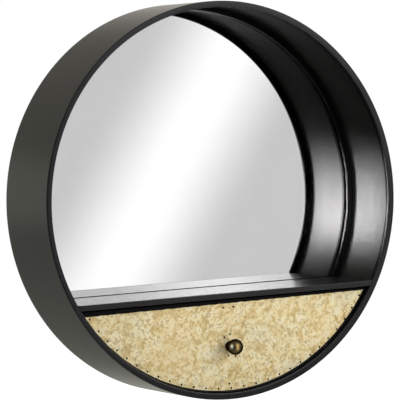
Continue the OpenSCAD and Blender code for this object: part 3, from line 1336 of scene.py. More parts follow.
@dataclass
class BackHardware:
    """Back board, the lugs that hold it, their screws and the two keyhole plates."""

    band_inside: float = 298.8
    lug_count: int = 8
    lug_width: float = 24.0
    lug_face: float = -1.4
    lug_back: float = -3.4
    lug_screw: Screw = field(default_factory=lambda: Screw(7.0, 1.2, 3.5, 7.4))
    lug_screw_radius: float = 288.8
    plate_x: float = 120.0
    plate_half: float = 25.0
    plate_front: float = -2.0
    # Width of the weld beads, and how deep, how far aside and how far back they lie, as
    # shares of that width
    bead: float = 2.0
    bead_sunk: float = 0.35
    bead_aside: float = 0.3
    bead_set_back: float = 0.55
    # A lug's bead starts and ends this far short of its two faces
    bead_short: float = 0.2
    board_rounding: float = 0.4
    steel_rounding: float = 0.3

    def screws(self) -> Shape:
        """Drives one screw through every lug, each with its recess at its own angle.

        Returns:
            The screws, in metres.
        """
        chance = random.Random(7)
        bm = bmesh.new()
        top = self.lug_face + self.lug_screw.head_h
        seat = Matrix.Translation(Vector((0, top, -self.lug_screw_radius)) * MM)
        for i in range(self.lug_count):
            turn = Matrix.Rotation(-i * math.tau / self.lug_count, 4, "Y")
            spin = Matrix.Rotation(chance.uniform(0, math.pi), 4, "Y")
            put(bm, self.lug_screw.mesh(), turn @ seat @ spin)
        return bm

    def welds(self) -> Shape:
        """Lays the weld beads that hold the lugs and the keyhole plates to the band.

        Returns:
            The beads, in metres.
        """
        chance = random.Random(11)
        bm = bmesh.new()
        inset = self.band_inside - self.bead_sunk * self.bead
        aside = self.bead_aside * self.bead
        first, last = self.lug_face - self.bead_short, self.lug_back + self.bead_short
        for i in range(self.lug_count):
            turn = Matrix.Rotation(-i * math.tau / self.lug_count, 4, "Y")
            for way in (-1, 1):
                x = way * (self.lug_width / 2 + aside)
                drop = -math.sqrt(inset**2 - x**2)
                start, end = turn @ Vector((x, first, drop)), turn @ Vector((x, last, drop))
                weld_run(bm, start, end, self.bead, chance)
        for middle in (-self.plate_x, self.plate_x):
            for way in (-1, 1):
                x = middle + way * (self.plate_half + aside)
                rise = math.sqrt(inset**2 - x**2)
                start = Vector((x, -self.bead_set_back * self.bead, rise))
                weld_run(bm, start, Vector((x, self.plate_front, rise)), self.bead, chance)
        return bm

    def build(self, shop: Workshop) -> None:
        """Makes the back's pieces.

        Args:
            shop: The workshop that finishes them.
        """
        body = Body.CARCASS
        shop.carry_over("back_panel", "back_board", body, MDF, self.board_rounding)
        for node, name in (("panel_lugs", "board_lugs"), ("hanger_plates", "keyhole_plates")):
            shop.carry_over(node, name, body, BAR_ENAMEL, self.steel_rounding)
        shop.piece(
            self.screws(), "lug_screw_set", body, ZINC, ["lug_screws"], SCREW_SMOOTH
        )
        shop.piece(self.welds(), "weld_beads", body, BAR_ENAMEL, smooth_below=60.0)


# ---- Shelf -------------------------------------------------------------------------------


@dataclass
class Shelf:
    """The folded shelf sheet and the square bar along its front."""

    edge: float = 0.2
    rail_edge: float = 0.6

    def build(self, shop: Workshop) -> None:
        """Makes the shelf's pieces.

        Args:
            shop: The workshop that finishes them.
        """
        for node, name, finish, slot, rounding in (
            ("shelf_plate", "folded_shelf", SHELF_ENAMEL, "shelf_paint", self.edge),
            ("shelf_rail", "shelf_front_bar", RAIL_ENAMEL, "bar_paint", self.rail_edge),
        ):
            shop.carry_over(node, name, Body.CARCASS, finish, rounding)


# ---- Runners -----------------------------------------------------------------------------


@dataclass
class Runners:
    """The bars that carry the drawer, their felts and the two stop screws."""

    angle: float = 36.0
    stop_y: float = -110.0
    head_radius: float = 285.623
    stop: Screw = field(default_factory=lambda: Screw(8.0, 2.2, 4.0, 12.35))
    bar_rounding: float = 0.5
    felt_rounding: float = 0.2

    def stops(self) -> Shape:
        """Drives a stop screw down into each runner.

        Returns:
            The two screws, in metres.
        """
        bm = bmesh.new()
        seat = Matrix.Translation(Vector((0, self.stop_y, -self.head_radius)) * MM)
        upright = Matrix.Rotation(math.pi / 2, 4, "X")
        for angle in (-self.angle, self.angle):
            turn = Matrix.Rotation(-math.radians(angle), 4, "Y")
            put(bm, self.stop.mesh(), turn @ seat @ upright)
        return bm

    def build(self, shop: Workshop) -> None:
        """Makes the runners' pieces.

        Args:
            shop: The workshop that finishes them.
        """
        for node, name, finish, slot, rounding in (
            ("runner_bars", "runner_pair", BAR_ENAMEL, "bar_paint", self.bar_rounding),
            ("runner_felts", "felt_strips", FELT, "felt", self.felt_rounding),
        ):
            shop.carry_over(node, name, Body.CARCASS, finish, rounding)
        nodes = ["stop_screws"]
        shop.piece(
            self.stops(), "stop_screw_pair", Body.CARCASS, ZINC, nodes, SCREW_SMOOTH
        )


# ---- Drawer ------------------------------------------------------------------------------


@dataclass
class TackLayout:
    """Where the tacks stand on the brass, by the same rule as in the CAD."""

    edge_radius: float = 284.023
    sheet_top: float = -155.3
    inset: float = 3.0
    pitch: float = 21.0
    scatter: float = 2.0
    # Degrees of sway from the middle to an end: so many that neighbours aren't alike
    sway: float = 5000.0
    knob_drop: float = 220.5
    # Middle tacks as (x, z) from the sheet's top edge, the knob and the lowest edge tack
    from_top: tuple[Place, ...] = ((-8.7, -6.2), (8.7, -6.2))
    from_knob: tuple[Place, ...] = ((-8.25, 14.0), (1.25, 18.0), (-2.65, -14.45), (9.65, -15.95))
    from_edge: tuple[Place, ...] = ((-3.5, 7.0),)

    def along_edge(self) -> list[Place]:
        """Finds the places of the edge tacks.

        Returns:
            Each place as (x, z), in mm.
        """
        reach = math.acos((-self.sheet_top + 2 * self.inset) / self.edge_radius)
        count = 1 + 2 * math.floor(reach * self.edge_radius / self.pitch)
        places = []
        for i in range(count):
            share = -1 + 2 * i / (count - 1)
            angle = share * reach
            if abs(share) < 1:
                swing = math.sin(math.radians(share * self.sway))
                angle += math.atan(self.scatter / self.edge_radius) * swing
            x, z = self.edge_radius * math.sin(angle), -self.edge_radius * math.cos(angle)
            places.append((x, z))
        return places

    def down_middle(self) -> list[Place]:
        """Finds the places of the middle tacks.

        Returns:
            Each place as (x, z), in mm.
        """
        groups = (
            (self.sheet_top, self.from_top),
            (-self.knob_drop, self.from_knob),
            (-self.edge_radius, self.from_edge),
        )
        return [(x, level + z) for level, group in groups for x, z in group]


@dataclass
class DrawerFace:
    """The black segment board, its etched brass sheet and the tacks that pin it."""

    board_radius: float = 288.323
    board_top: float = -150.5
    board_front: float = -129.5
    board_back: float = -117.5
    board_rounding: float = 0.5
    brass_radius: float = 287.023
    brass_top: float = -155.3
    brass_front: float = -130.0
    brass_grid: tuple[int, int] = (250, 72)
    # The sheet lies on the board; a hair's gap keeps the two surfaces apart in the render
    hair: float = 0.02
    # Hand-cut sheet: its top edge leans, its rim wanders, and it lifts between the tacks
    lean: float = 0.0084
    ragged: float = 0.5
    # Mean cut inside the CAD's outline and wander from there, as shares of that raggedness
    rim_cut: tuple[float, float] = (0.6, 1.0)
    top_cut: tuple[float, float] = (0.3, 1.4)
    wander_per_mm: tuple[float, float] = (0.11, 0.45)
    lift: float = 0.35
    swell_per_mm: float = 0.018
    # Round each tack this much stays down, and over this much more the sheet comes free
    pinned: float = 1.5
    freed_over: float = 9.0
    head_d: float = 3.0
    head_h: float = 0.8
    # How the tacks' heads vary: shares of their width and height, and degrees of tilt
    width_spread: tuple[float, float] = (0.96, 1.1)
    height_spread: tuple[float, float] = (0.8, 0.95)
    tilt: float = 9.0
    shank: float = 1.2
    shank_len: float = 6.0
    tacks: TackLayout = field(default_factory=TackLayout)

    def board(self) -> Shape:
        """Cuts the board and eases its edges.

        Returns:
            The board, in metres.
        """
        bm = segment_board(self.board_radius, self.board_top, self.board_back, self.board_front)
        soften(bm, self.board_rounding)
        return bm

    def cut(self, across: float, down: float, rim: bool) -> Vector:
        """Finds where a point of the hand-cut sheet lies, seen from the front.

        Args:
            across: Place between the sheet's ends, from -1 to 1.
            down: 0 at the top edge and 1 at the lowest point.
            rim: True if the point is on the sheet's outline.

        Returns:
            The point in mm, with a Y of 0.
        """
        angle = math.acos(-self.brass_top / self.brass_radius) * (1 - down)
        point = Vector((across * math.sin(angle), 0, -math.cos(angle))) * self.brass_radius
        if rim:
            coarse, fine = self.wander_per_mm
            wander = noise.noise(point * coarse) + 0.5 * noise.noise(point * fine)
            mean, sway = self.rim_cut
            point *= 1 - self.ragged * (mean + sway * wander) / self.brass_radius
            if down == 0:
                mean, sway = self.top_cut
                point.z = self.brass_top - self.ragged * (mean + sway * wander)
        point.z += self.lean * point.x * (1 - down)
        return point

    def sheet(self) -> Shape:
        """Cuts the sheet by hand from a fine grid, and lets it lift between its tacks.

        Returns:
            The sheet, in metres.
        """
        bm = bmesh.new()
        columns, rows = self.brass_grid
        bmesh.ops.create_grid(bm, x_segments=columns, y_segments=rows, size=0.5)
        pins = [Vector((x, 0, z)) for x, z in self.tacks.along_edge() + self.tacks.down_middle()]
        for vert in bm.verts:
            point = self.cut(2 * vert.co.x, 0.5 - vert.co.y, vert.is_boundary)
            near = min((point - pin).length for pin in pins)
            swell = 0.5 + 0.5 * noise.noise(point * self.swell_per_mm)
            free = min(1.0, max(0.0, (near - self.pinned) / self.freed_over))
            point.y = self.brass_front - self.lift * swell * free * free * (3 - 2 * free)
            vert.co = point * MM
        bmesh.ops.remove_doubles(bm, verts=bm.verts, dist=2e-5)
        grown = bmesh.ops.extrude_face_region(bm, geom=bm.faces[:], use_keep_orig=True)
        for item in grown["geom"]:
            if isinstance(item, bmesh.types.BMVert):
                item.co.y = (self.board_front - self.hair) * MM
        bmesh.ops.recalc_face_normals(bm, faces=bm.faces)
        return bm

    def tack_set(self, places: Sequence[Place], seed: int) -> Shape:
        """Hammers tacks in at some places, none quite alike.

        Args:
            places: Where they stand, as (x, z) in mm.
            seed: Seed of their small differences.

        Returns:
            The tacks, in metres.
        """
        chance = random.Random(seed)
        bm = bmesh.new()
        down = Matrix.Translation(Vector((0, self.shank_len / 2, 0)) * MM)
        for x, z in places:
            size = self.head_d / 2 * chance.uniform(*self.width_spread)
            nod = Matrix.Rotation(math.radians(chance.uniform(-self.tilt, self.tilt)), 4, "X")
            sway = Matrix.Rotation(math.radians(chance.uniform(-self.tilt, self.tilt)), 4, "Z")
            spot = Matrix.Translation(Vector((x, self.brass_front, z)) * MM)
            height = self.head_h * chance.uniform(*self.height_spread)
            form = Matrix.Diagonal((size, height, size, 1))
            bmesh.ops.create_uvsphere(
                bm, u_segments=14, v_segments=8, radius=MM, matrix=spot @ nod @ sway @ form
            )
            bmesh.ops.create_cone(
                bm,
                cap_ends=True,
                segments=8,
                radius1=self.shank / 2 * MM,
                radius2=self.shank / 5 * MM,
                depth=self.shank_len * MM,
                matrix=spot @ down @ Matrix.Rotation(-math.pi / 2, 4, "X"),
            )
        return bm

    def build(self, shop: Workshop) -> None:
        """Makes the face's pieces.

        Args:
            shop: The workshop that finishes them.
        """
        body = Body.DRAWER
        shop.piece(
            self.board(), "front_board", body, SHADED_BOARD_ENAMEL, ["drawer_front"]
        )
        shop.piece(self.sheet(), "brass_facing", body, SHEET_BRASS, ["brass_sheet"])
        for places, seed, name, node in (
            (self.tacks.along_edge(), 3, "edge_tack_set", "edge_tacks"),
            (self.tacks.down_middle(), 5, "middle_tack_set", "centre_tacks"),
        ):
            tacks = self.tack_set(places, seed)
            shop.piece(tacks, name, body, TACK_BRASS, [node], smooth_below=50.0)


@dataclass
class DrawerBox:
    """The curved tray, its back board, battens and countersunk screws."""

    back_radius: float = 288.323
    back_top: float = -150.5
    back_planes: tuple[float, float] = (-26.0, -34.0)
    # The tray touches the back board; a hair's gap keeps their faces apart in the render
    hair: float = 0.02
    screw_radius: float = 289.223
    screw_rows: tuple[float, float] = (-121.0, -30.5)
    screw_angle: float = 50.0
    screw_count: int = 6
    screw: Screw = field(default_factory=lambda: Screw(6.0, 1.5, 3.0, 14.0, HeadForm.COUNTERSUNK))
    tray_rounding: float = 0.12
    board_rounding: float = 0.4
    batten_rounding: float = 0.5

    def screws(self) -> Shape:
        """Drives the two rows of screws up through the tray.

        Returns:
            The screws, in metres.
        """
        chance = random.Random(13)
        bm = bmesh.new()
        outward = Matrix.Rotation(-math.pi / 2, 4, "X")
        for y in self.screw_rows:
            seat = Matrix.Translation(Vector((0, y, -self.screw_radius)) * MM)
            for i in range(self.screw_count):
                angle = self.screw_angle * (-1 + 2 * i / (self.screw_count - 1))
                turn = Matrix.Rotation(-math.radians(angle), 4, "Y")
                spin = Matrix.Rotation(chance.uniform(0, math.pi), 4, "Y")
                put(bm, self.screw.mesh(), turn @ seat @ outward @ spin)
        return bm

    def back_board(self) -> Shape:
        """Cuts the back board and eases its edges.

        Returns:
            The board, in metres.
        """
        back, front = self.back_planes
        bm = segment_board(self.back_radius - self.hair, self.back_top, back, front, steps=360)
        soften(bm, self.board_rounding)
        return bm

    def build(self, shop: Workshop) -> None:
        """Makes the box's pieces.

        Args:
            shop: The workshop that finishes them.
        """
        body = Body.DRAWER
        shop.carry_over(
            "drawer_tray",
            "curved_tray",
            body,
            TRAY_ENAMEL,
            self.tray_rounding,
            over_degrees=50.0,
        )
        shop.piece(self.back_board(), "back_segment", body, MDF, ["drawer_back"])
        shop.carry_over("tray_battens", "batten_pair", body, PINE, self.batten_rounding)
        shop.piece(
            self.screws(), "tray_screw_set", body, ZINC, ["tray_screws"], SCREW_SMOOTH
        )


@dataclass
class Knob:
    """The turned ball knob with its bead and disc, and the bolt that holds it.

    Its methods draw each piece about the Y axis, and build() drops them to their place.
    """

    drop: float = 220.5
    plate: float = -130.0
    ball_d: float = 24.0
    reach: float = 17.0
    bead_d: float = 14.6
    bead_t: float = 3.0
    bead_reach: float = 5.0
    bead_rounding: float = 1.45
    neck_d: float = 9.0
    # The neck flares at its foot, has a waist, and meets the bead and the ball in small steps
    foot_flare: float = 1.2
    foot_rounding: float = 0.3
    waist_rounding: float = 0.8
    waist_back: float = 0.5
    step: float = 0.4
    disc_d: float = 16.0
    disc_t: float = 1.6
    disc_roundings: tuple[float, float] = (0.2, 0.75)
    board_back: float = -117.5
    washer_d: float = 12.0
    washer_bore_d: float = 4.4
    washer_t: float = 0.8
    washer_roundings: tuple[float, float] = (0.1, 0.25)
    bolt_head_d: float = 7.0
    bolt_head_h: float = 2.6
    bolt_d: float = 4.0
    # How far the bolt goes into the knob, past the brass
    bolt_bite: float = 9.0

    def ball(self) -> Shape:
        """Turns the neck and the bead, and adds the ball.

        Returns:
            The knob, in metres.
        """
        foot, centre = self.plate - self.disc_t, self.plate - self.reach
        bead_back = self.plate - self.bead_reach + self.bead_t / 2
        bead_front = bead_back - self.bead_t
        neck, bead = self.neck_d / 2, self.bead_d / 2
        outline = [
            (0, foot, 0),
            (neck + self.foot_flare, foot, self.foot_rounding),
            (neck, bead_back + self.waist_back, self.waist_rounding),
            (neck + self.step, bead_back, 0.0),
            (bead, bead_back, self.bead_rounding),
            (bead, bead_front, self.bead_rounding),
            (neck + 2 * self.step, bead_front, 0.0),
            (neck + self.step, centre, 0.0),
            (0, centre, 0),
        ]
        bm = spun(outline, steps=64, segments=6)
        bmesh.ops.create_uvsphere(
            bm,
            u_segments=64,
            v_segments=40,
            radius=self.ball_d / 2 * MM,
            matrix=Matrix.Translation(Vector((0, centre, 0)) * MM)
            @ Matrix.Rotation(math.pi / 2, 4, "X"),
        )
        return bm

    def disc(self) -> Shape:
        """Turns the small disc under the knob.

        Returns:
            The disc, in metres.
        """
        back_rounding, front_rounding = self.disc_roundings
        outline = [
            (0, self.plate, 0),
            (self.disc_d / 2, self.plate, back_rounding),
            (self.disc_d / 2, self.plate - self.disc_t, front_rounding),
            (0, self.plate - self.disc_t, 0),
        ]
        return spun(outline, steps=64, segments=5)

    def bolt(self) -> Shape:
        """Turns the bolt, its recess towards the drawer's inside.

        Returns:
            The bolt, in metres.
        """
        top = self.board_back + self.washer_t + self.bolt_head_h
        length = top - self.plate + self.bolt_bite
        bm = Screw(self.bolt_head_d, self.bolt_head_h, self.bolt_d, length).mesh()
        bmesh.ops.translate(bm, verts=bm.verts, vec=(0, top * MM, 0))
        return bm

    def washer(self) -> Shape:
        """Turns the washer inside the drawer.

        Returns:
            The washer, in metres.
        """
        rim, bore = self.washer_d / 2, self.washer_bore_d / 2
        back = self.board_back + self.washer_t
        fine, wide = self.washer_roundings
        outline = [
            (rim, self.board_back, fine),
            (rim, back, wide),
            (bore, back, fine),
            (bore, self.board_back, 0),
        ]
        return spun(outline, steps=48, segments=3)

    def build(self, shop: Workshop) -> None:
        """Makes the knob's pieces.

        Args:
            shop: The workshop that finishes them.
        """
        for bm, name, finish, slot, node, smooth_below in (
            (self.ball(), "ball_knob", KNOB_BRASS, "dark_brass", "knob_ball", 40.0),
            (self.disc(), "knob_disc", KNOB_BRASS, "dark_brass", "knob_flange", 32.0),
            (self.bolt(), "knob_screw", ZINC, "zinc", "knob_bolt", SCREW_SMOOTH),
            (self.washer(), "knob_plain_washer", ZINC, "zinc", "knob_washer", 32.0),
        ):
            bmesh.ops.translate(bm, verts=bm.verts, vec=(0, 0, -self.drop * MM))
            shop.piece(bm, name, Body.DRAWER, finish, [node], smooth_below)


# ---- Studio ------------------------------------------------------------------------------


@dataclass(frozen=True)
class Lamp:
    """A soft lamp that looks at the origin and isn't itself seen.

    It hangs azimuth degrees round to the right from straight ahead of the piece, and rise
    degrees above level. Its distance, width and height are in metres, its power in watts.
    """

    name: str
    azimuth: float
    rise: float
    distance: float
    size: tuple[float, float]
    power: float
    colour: str = "#ffffff"

    def hang(self) -> bpy.types.Object:
        """Hangs the lamp.

        Returns:
            The lamp.
        """
        turn, tilt = math.radians(self.azimuth), math.radians(self.rise)
        away = Vector(
            (math.sin(turn) * math.cos(tilt), -math.cos(turn) * math.cos(tilt), math.sin(tilt))
        )
        light = bpy.data.lights.new(self.name, "AREA")
        light.shape = "RECTANGLE"
        light.size, light.size_y = self.size
        light.energy = self.power
        light.color = linear(self.colour)[:3]
        made = bpy.data.objects.new(self.name, light)
        bpy.context.scene.collection.objects.link(made)
        made.location = away * self.distance
        made.rotation_mode = "QUATERNION"
        made.rotation_quaternion = away.to_track_quat("Z", "Y")
        made.visible_camera = False
        return made


@dataclass(frozen=True)
class Fade:
    """A soft change of brightness across a card, from one place in metres to another."""

    start: float
    end: float
    least: float = 0.0
    most: float = 1.0

    def inputs(self, value: Socket) -> Inputs:
        """Inputs of the Map Range node that draws the fade over a value."""
        span = {"From Min": self.start, "From Max": self.end}
        return {"Value": value, **span, "To Min": self.least, "To Max": self.most}


@dataclass
class Studio:
    """Camera, white surroundings, floor, lamps and the cards that the glass and gloss show."""

    camera_mm: tuple[float, float, float] = (-1933.2, -3554.1, 197.6)
    yaw: float = 29.03
    pitch: float = 2.82
    roll: float = -2.30
    lens: float = 235.23
    shift: tuple[float, float] = (-0.01175, -0.0035)
    soft_world: float = 0.55
    floor_z: float = -0.95
    floor_size: tuple[float, float] = (12.0, 12.0)
    floor_colour: str = "#e9e8e6"
    floor_glow: float = 0.66
    # The studio wall that the mirror shows: its grey and the leaning band of light, which is
    # repeated at every pitch where the mirror is seen straight
    wall_y: float = -2.6
    wall_size: tuple[float, float] = (6.4, 4.4)
    wall_grey: float = 0.62
    band_level: float = 1.13
    band_lean: float = 56.2
    band_centre: float = 1.171
    band_half: float = 0.258
    band_pitch: float = 1.2
    # What the gloss sees of that wall: a bright top, a dim foot and a dark left side
    sky: Fade = Fade(0.42, 0.95, 0.0, 3.2)
    ground: Fade = Fade(-0.66, -0.44, 0.0, 0.78)
    dusk: Fade = Fade(-1.35, -0.9, 0.0, 0.22)
    side: Fade = Fade(0.45, 0.88, 0.01, 1.0)
    foot: Fade = Fade(-0.7, -1.1, 0.0, 0.04)
    # Surfaces met on the way through the glass to the silver and out again
    mirror_depth: int = 5
    softbox_centre: tuple[float, float, float] = (-1.15, -2.55, 0.0)
    softbox_size: tuple[float, float] = (1.5, 1.9)
    softbox_level: float = 13.0
    softbox_across: tuple[Fade, Fade] = (Fade(-1.85, -1.45), Fade(-0.45, -0.85))
    softbox_up: tuple[Fade, Fade] = (Fade(-0.8, 0.23), Fade(0.83, 0.34))
    behind_y: float = 1.1
    behind_size: tuple[float, float] = (7.0, 5.0)
    behind_wash: Fade = Fade(0.0, 1.0, 0.33, 1.05)
    behind_strip: Fade = Fade(0.36, 0.1, 0.0, 0.25)
    behind_strip_z: float = 0.08
    behind_warming: Fade = Fade(0.2, 0.9)

    def camera(self) -> None:
        """Sets the camera at the photograph's viewing angle."""
        yaw, pitch, roll = (math.radians(a) for a in (self.yaw, self.pitch, self.roll))
        flat = math.cos(pitch)
        ahead = Vector((math.sin(yaw) * flat, math.cos(yaw) * flat, -math.sin(pitch)))
        level = Vector((math.cos(yaw), -math.sin(yaw), 0))
        above = level.cross(ahead)
        right = level * math.cos(roll) + above * math.sin(roll)
        up = above * math.cos(roll) - level * math.sin(roll)
        lens = bpy.data.cameras.new("camera")
        lens.lens = self.lens
        lens.shift_x, lens.shift_y = self.shift
        lens.clip_start, lens.clip_end = 0.1, 100.0
        camera = bpy.data.objects.new("camera", lens)
        bpy.context.scene.collection.objects.link(camera)
        turn = Matrix((right, up, -ahead)).transposed().to_4x4()
        camera.matrix_world = Matrix.Translation(Vector(self.camera_mm) * MM) @ turn
        bpy.context.scene.camera = camera

    def world(self) -> None:
        """Sets white surroundings for what is seen and mirrored, and soft light for the rest."""
        world = bpy.data.worlds.new("white_studio")
        bpy.context.scene.world = world
        world.use_nodes = True
        tree = world.node_tree
        tree.nodes.clear()
        rays = add_node(tree, "ShaderNodeLightPath")
        white = rays.outputs["Is Camera Ray"]
        for kind in ("Is Glossy Ray", "Is Transmission Ray"):
            either = add_node(
                tree, "ShaderNodeMath", {0: white, 1: rays.outputs[kind]}, operation="MAXIMUM"
            )
            white = either.outputs[0]
        strength = add_node(
            tree, "ShaderNodeMapRange", {"Value": white, "To Min": self.soft_world, "To Max": 1.0}
        )
        sky = add_node(
            tree,
            "ShaderNodeBackground",
            {"Color": WHITE, "Strength": strength.outputs["Result"]},
        )
        add_node(tree, "ShaderNodeOutputWorld", {"Surface": sky.outputs["Background"]})

    def plane(
        self,
        name: str,
        centre: tuple[float, float, float],
        size: tuple[float, float],
        upright: bool,
    ) -> bpy.types.Object:
        """Makes a flat stage piece.

        Args:
            name: Its name.
            centre: Its middle, in metres.
            size: Its size along X, and along Z or, if it lies flat, along Y, in metres.
            upright: True if it faces the object's front, False if it lies flat.

        Returns:
            The piece.
        """
        bm = bmesh.new()
        bmesh.ops.create_grid(bm, x_segments=1, y_segments=1, size=0.5)
        bmesh.ops.scale(bm, verts=bm.verts, vec=(*size, 1))
        if upright:
            bmesh.ops.rotate(bm, verts=bm.verts, matrix=Matrix.Rotation(-math.pi / 2, 3, "X"))
        bmesh.ops.translate(bm, verts=bm.verts, vec=centre)
        mesh = bpy.data.meshes.new(name)
        bm.to_mesh(mesh)
        bm.free()
        made = bpy.data.objects.new(name, mesh)
        bpy.context.scene.collection.objects.link(made)
        return made

    def floor(self) -> None:
        """Lays a pale floor well below the piece, which keeps its shadow."""
        made = self.plane("floor", (0.0, 0.0, self.floor_z), self.floor_size, False)
        made.visible_glossy = False
        made.visible_transmission = False
        material = blank_material("pale_floor")
        made.data.materials.append(material)
        tree = material.node_tree
        rays = add_node(tree, "ShaderNodeLightPath")
        lift = add_node(
            tree,
            "ShaderNodeMath",
            {0: rays.outputs["Is Camera Ray"], 1: self.floor_glow},
            operation="MULTIPLY",
        )
        paint = add_node(tree, "ShaderNodeBsdfDiffuse", {"Color": linear(self.floor_colour)})
        glow = add_node(tree, "ShaderNodeEmission", {"Color": WHITE, "Strength": lift.outputs[0]})
        both = add_node(tree, "ShaderNodeAddShader", {0: paint.outputs[0], 1: glow.outputs[0]})
        add_node(tree, "ShaderNodeOutputMaterial", {"Surface": both.outputs[0]})

    def card(
        self, name: str, centre: tuple[float, float, float], size: tuple[float, float]
    ) -> tuple[bpy.types.Material, Socket, Socket]:
        """Makes an upright card that shows in glass and gloss alone.

        Args:
            name: Its name, and its material's.
            centre: Its middle, in metres.
            size: Its width and height, in metres.

        Returns:
            Its material, and X and Z on it, in metres.
        """
        made = self.plane(name, centre, size, True)
        made.visible_camera = False
        made.visible_diffuse = False
        made.visible_shadow = False
        made.visible_volume_scatter = False
        material = blank_material(name)
        made.data.materials.append(material)
        tree = material.node_tree
        place = add_node(tree, "ShaderNodeTexCoord").outputs["Object"]
        axes = add_node(tree, "ShaderNodeSeparateXYZ", {0: place})
        return material, axes.outputs["X"], axes.outputs["Z"]

    def bounces(self, tree: Tree, operation: str, count: float) -> Socket:
        """Compares how many surfaces the light has met with a count.

        Args:
            tree: The card's node tree.
            operation: Blender's name for the comparison.
            count: The count.

        Returns:
            1 where the comparison holds, and else 0.
        """
        rays = add_node(tree, "ShaderNodeLightPath")
        held = add_node(
            tree,
            "ShaderNodeMath",
            {0: rays.outputs["Ray Depth"], 1: count, 2: 0.5},
            operation=operation,
        )
        return held.outputs[0]

    def bands(self, tree: Tree, x: Socket, z: Socket) -> list[Socket]:
        """Draws the mirrored wall's grey with its leaning band of light.

        Args:
            tree: The card's node tree.
            x: X on the card, in metres.
            z: Z on the card, in metres.

        Returns:
            The brightness with one band, and with the band repeated.
        """
        lean = math.radians(self.band_lean)
        along_x = add_node(tree, "ShaderNodeMath", {0: x, 1: math.sin(lean)}, operation="MULTIPLY")
        across = add_node(
            tree,
            "ShaderNodeMath",
            {0: z, 1: -math.cos(lean), 2: along_x.outputs[0]},
            operation="MULTIPLY_ADD",
        )
        off = add_node(
            tree,
            "ShaderNodeMath",
            {0: across.outputs[0], 1: self.band_centre},
            operation="SUBTRACT",
        )
        drawn = []
        for operation in ("ABSOLUTE", "PINGPONG"):
            away = add_node(
                tree,
                "ShaderNodeMath",
                {0: off.outputs[0], 1: self.band_pitch / 2},
                operation=operation,
            )
            turn = add_node(
                tree,
                "ShaderNodeMapRange",
                {"Value": away.outputs[0], "From Max": self.band_half, "To Max": math.pi},
            )
            wave = add_node(
                tree, "ShaderNodeMath", {0: turn.outputs["Result"]}, operation="COSINE"
            )
            level = add_node(
                tree,
                "ShaderNodeMapRange",
                Fade(-1.0, 1.0, self.wall_grey, self.band_level).inputs(wave.outputs[0]),
            )
            drawn.append(level.outputs["Result"])
        return drawn

    def mirrored_card(self) -> None:
        """Stands up the studio wall that the mirror shows: grey, with one soft leaning band."""
        material, x, z = self.card("mirrored_card", (0.0, self.wall_y, 0.0), self.wall_size)
        material.cycles.emission_sampling = "NONE"
        tree = material.node_tree
        band, repeated = self.bands(tree, x, z)
        sky, ground, dusk, side, foot = (
            add_node(
                tree, "ShaderNodeMapRange", fade.inputs(value), interpolation_type="SMOOTHSTEP"
            ).outputs["Result"]
            for value, fade in (
                (z, self.sky),
                (z, self.ground),
                (z, self.dusk),
                (x, self.side),
                (z, self.foot),
            )
        )
        lit = add_node(tree, "ShaderNodeMath", {0: band, 1: sky}, operation="ADD")
        lower = add_node(tree, "ShaderNodeMath", {0: ground, 1: dusk}, operation="ADD")
        share = add_node(
            tree, "ShaderNodeMath", {0: lower.outputs[0], 1: side}, operation="MULTIPLY"
        )
        level = add_node(
            tree,
            "ShaderNodeMath",
            {0: lit.outputs[0], 1: share.outputs[0], 2: foot},
            operation="MULTIPLY_ADD",
        )
        # Seen straight in the mirror, from any side, the wall is grey with bands
        straight = self.bounces(tree, "COMPARE", self.mirror_depth)
        shown = add_node(tree, "ShaderNodeMix", {0: straight, 2: level.outputs[0], 3: repeated})
        glow = add_node(tree, "ShaderNodeEmission", {"Color": WHITE, "Strength": shown.outputs[0]})
        add_node(tree, "ShaderNodeOutputMaterial", {"Surface": glow.outputs[0]})

    def softbox(self) -> None:
        """Stands up a large soft lamp, which the drum's inner wall shows as a glow."""
        material, x, z = self.card("softbox", self.softbox_centre, self.softbox_size)
        tree = material.node_tree
        # It stands outside the view of the knob, the brass and the mirror seen straight
        passed_on = self.bounces(tree, "GREATER_THAN", 1.5)
        straight = self.bounces(tree, "COMPARE", self.mirror_depth)
        gate = add_node(tree, "ShaderNodeMath", {0: passed_on, 1: straight}, operation="SUBTRACT")
        level = add_node(
            tree,
            "ShaderNodeMath",
            {0: gate.outputs[0], 1: self.softbox_level},
            operation="MULTIPLY",
        ).outputs[0]
        for value, fades in ((x, self.softbox_across), (z, self.softbox_up)):
            for fade in fades:
                share = add_node(
                    tree,
                    "ShaderNodeMapRange",
                    fade.inputs(value),
                    interpolation_type="SMOOTHSTEP",
                )
                dimmed = add_node(
                    tree,
                    "ShaderNodeMath",
                    {0: level, 1: share.outputs["Result"]},
                    operation="MULTIPLY",
                )
                level = dimmed.outputs[0]
        glow = add_node(tree, "ShaderNodeEmission", {"Color": WHITE, "Strength": level})
        clear = add_node(tree, "ShaderNodeBsdfTransparent")
        both = add_node(tree, "ShaderNodeAddShader", {0: clear.outputs[0], 1: glow.outputs[0]})
        add_node(tree, "ShaderNodeOutputMaterial", {"Surface": both.outputs[0]})

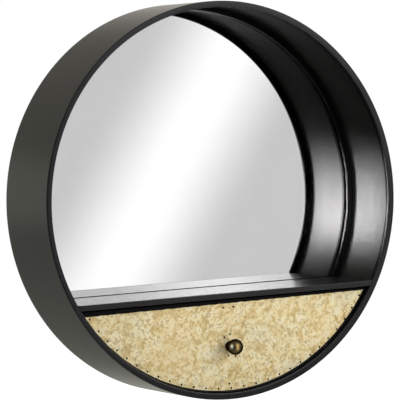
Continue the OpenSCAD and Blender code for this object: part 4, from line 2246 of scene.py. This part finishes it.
    def card_behind(self) -> None:
        """Stands a card behind the piece, which tones down what the drum's outside shows."""
        material, x, z = self.card("card_behind", (0.0, self.behind_y, 0.0), self.behind_size)
        material.cycles.emission_sampling = "NONE"
        tree = material.node_tree
        off = add_node(
            tree, "ShaderNodeMath", {0: z, 1: self.behind_strip_z}, operation="SUBTRACT"
        )
        away = add_node(tree, "ShaderNodeMath", {0: off.outputs[0]}, operation="ABSOLUTE")
        wash, strip = (
            add_node(
                tree, "ShaderNodeMapRange", fade.inputs(value), interpolation_type="SMOOTHSTEP"
            ).outputs["Result"]
            for value, fade in ((x, self.behind_wash), (away.outputs[0], self.behind_strip))
        )
        level = add_node(tree, "ShaderNodeMath", {0: wash, 1: strip}, operation="ADD")
        height = add_node(tree, "ShaderNodeMapRange", self.behind_warming.inputs(z))
        tone = add_node(
            tree,
            "ShaderNodeValToRGB",
            {"Fac": height.outputs["Result"]},
            stops=[(0.0, "#fffff1"), (1.0, "#fff7ec")],
        )
        glow = add_node(
            tree,
            "ShaderNodeEmission",
            {"Color": tone.outputs["Color"], "Strength": level.outputs[0]},
        )
        add_node(tree, "ShaderNodeOutputMaterial", {"Surface": glow.outputs[0]})

    def lamps(self) -> None:
        """Hangs a small soft lamp at the right, a little above level, and a large one above."""
        for lamp in (
            Lamp("lamp_right", 46.0, 19.0, 2.4, (0.6, 0.6), 38.0),
            Lamp("lamp_above", -20.0, 62.0, 2.4, (1.2, 1.2), 30.0),
        ):
            lamp.hang().visible_glossy = False

    def knob_strips(self) -> None:
        """Hangs two strip lamps for the knob alone: a cool one at its left, a warm one ahead."""
        only = bpy.data.collections.new("knob_only")
        only.objects.link(bpy.data.objects["ball_knob"])
        for strip in (
            Lamp("strip_left", -95.0, 8.0, 2.3, (2.2, 1.6), 460.0, "#b2ceff"),
            Lamp("strip_ahead", 8.0, 0.0, 2.3, (1.3, 4.4), 160.0, "#fff3e2"),
        ):
            made = strip.hang()
            made.visible_diffuse = False
            made.light_linking.receiver_collection = only

    def build(self) -> None:
        """Sets up the studio, but for the knob's lamps, which need the knob."""
        bpy.context.scene.view_settings.view_transform = "Standard"
        self.camera()
        self.world()
        self.floor()
        self.mirrored_card()
        self.card_behind()
        self.softbox()
        self.lamps()


def main() -> None:
    """Builds the studio and every sub-assembly in order."""
    logging.basicConfig(level=logging.INFO, format="%(name)s: %(message)s")
    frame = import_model()
    studio = Studio()
    studio.build()
    shop = Workshop(frame)
    for assembly in (
        Drum(),
        Mirror(),
        BackHardware(),
        Shelf(),
        Runners(),
        DrawerFace(),
        DrawerBox(),
        Knob(),
    ):
        LOG.info("building %s", type(assembly).__name__)
        assembly.build(shop)
    studio.knob_strips()
    bpy.context.view_layer.update()


if __name__ == "__main__":
    main()
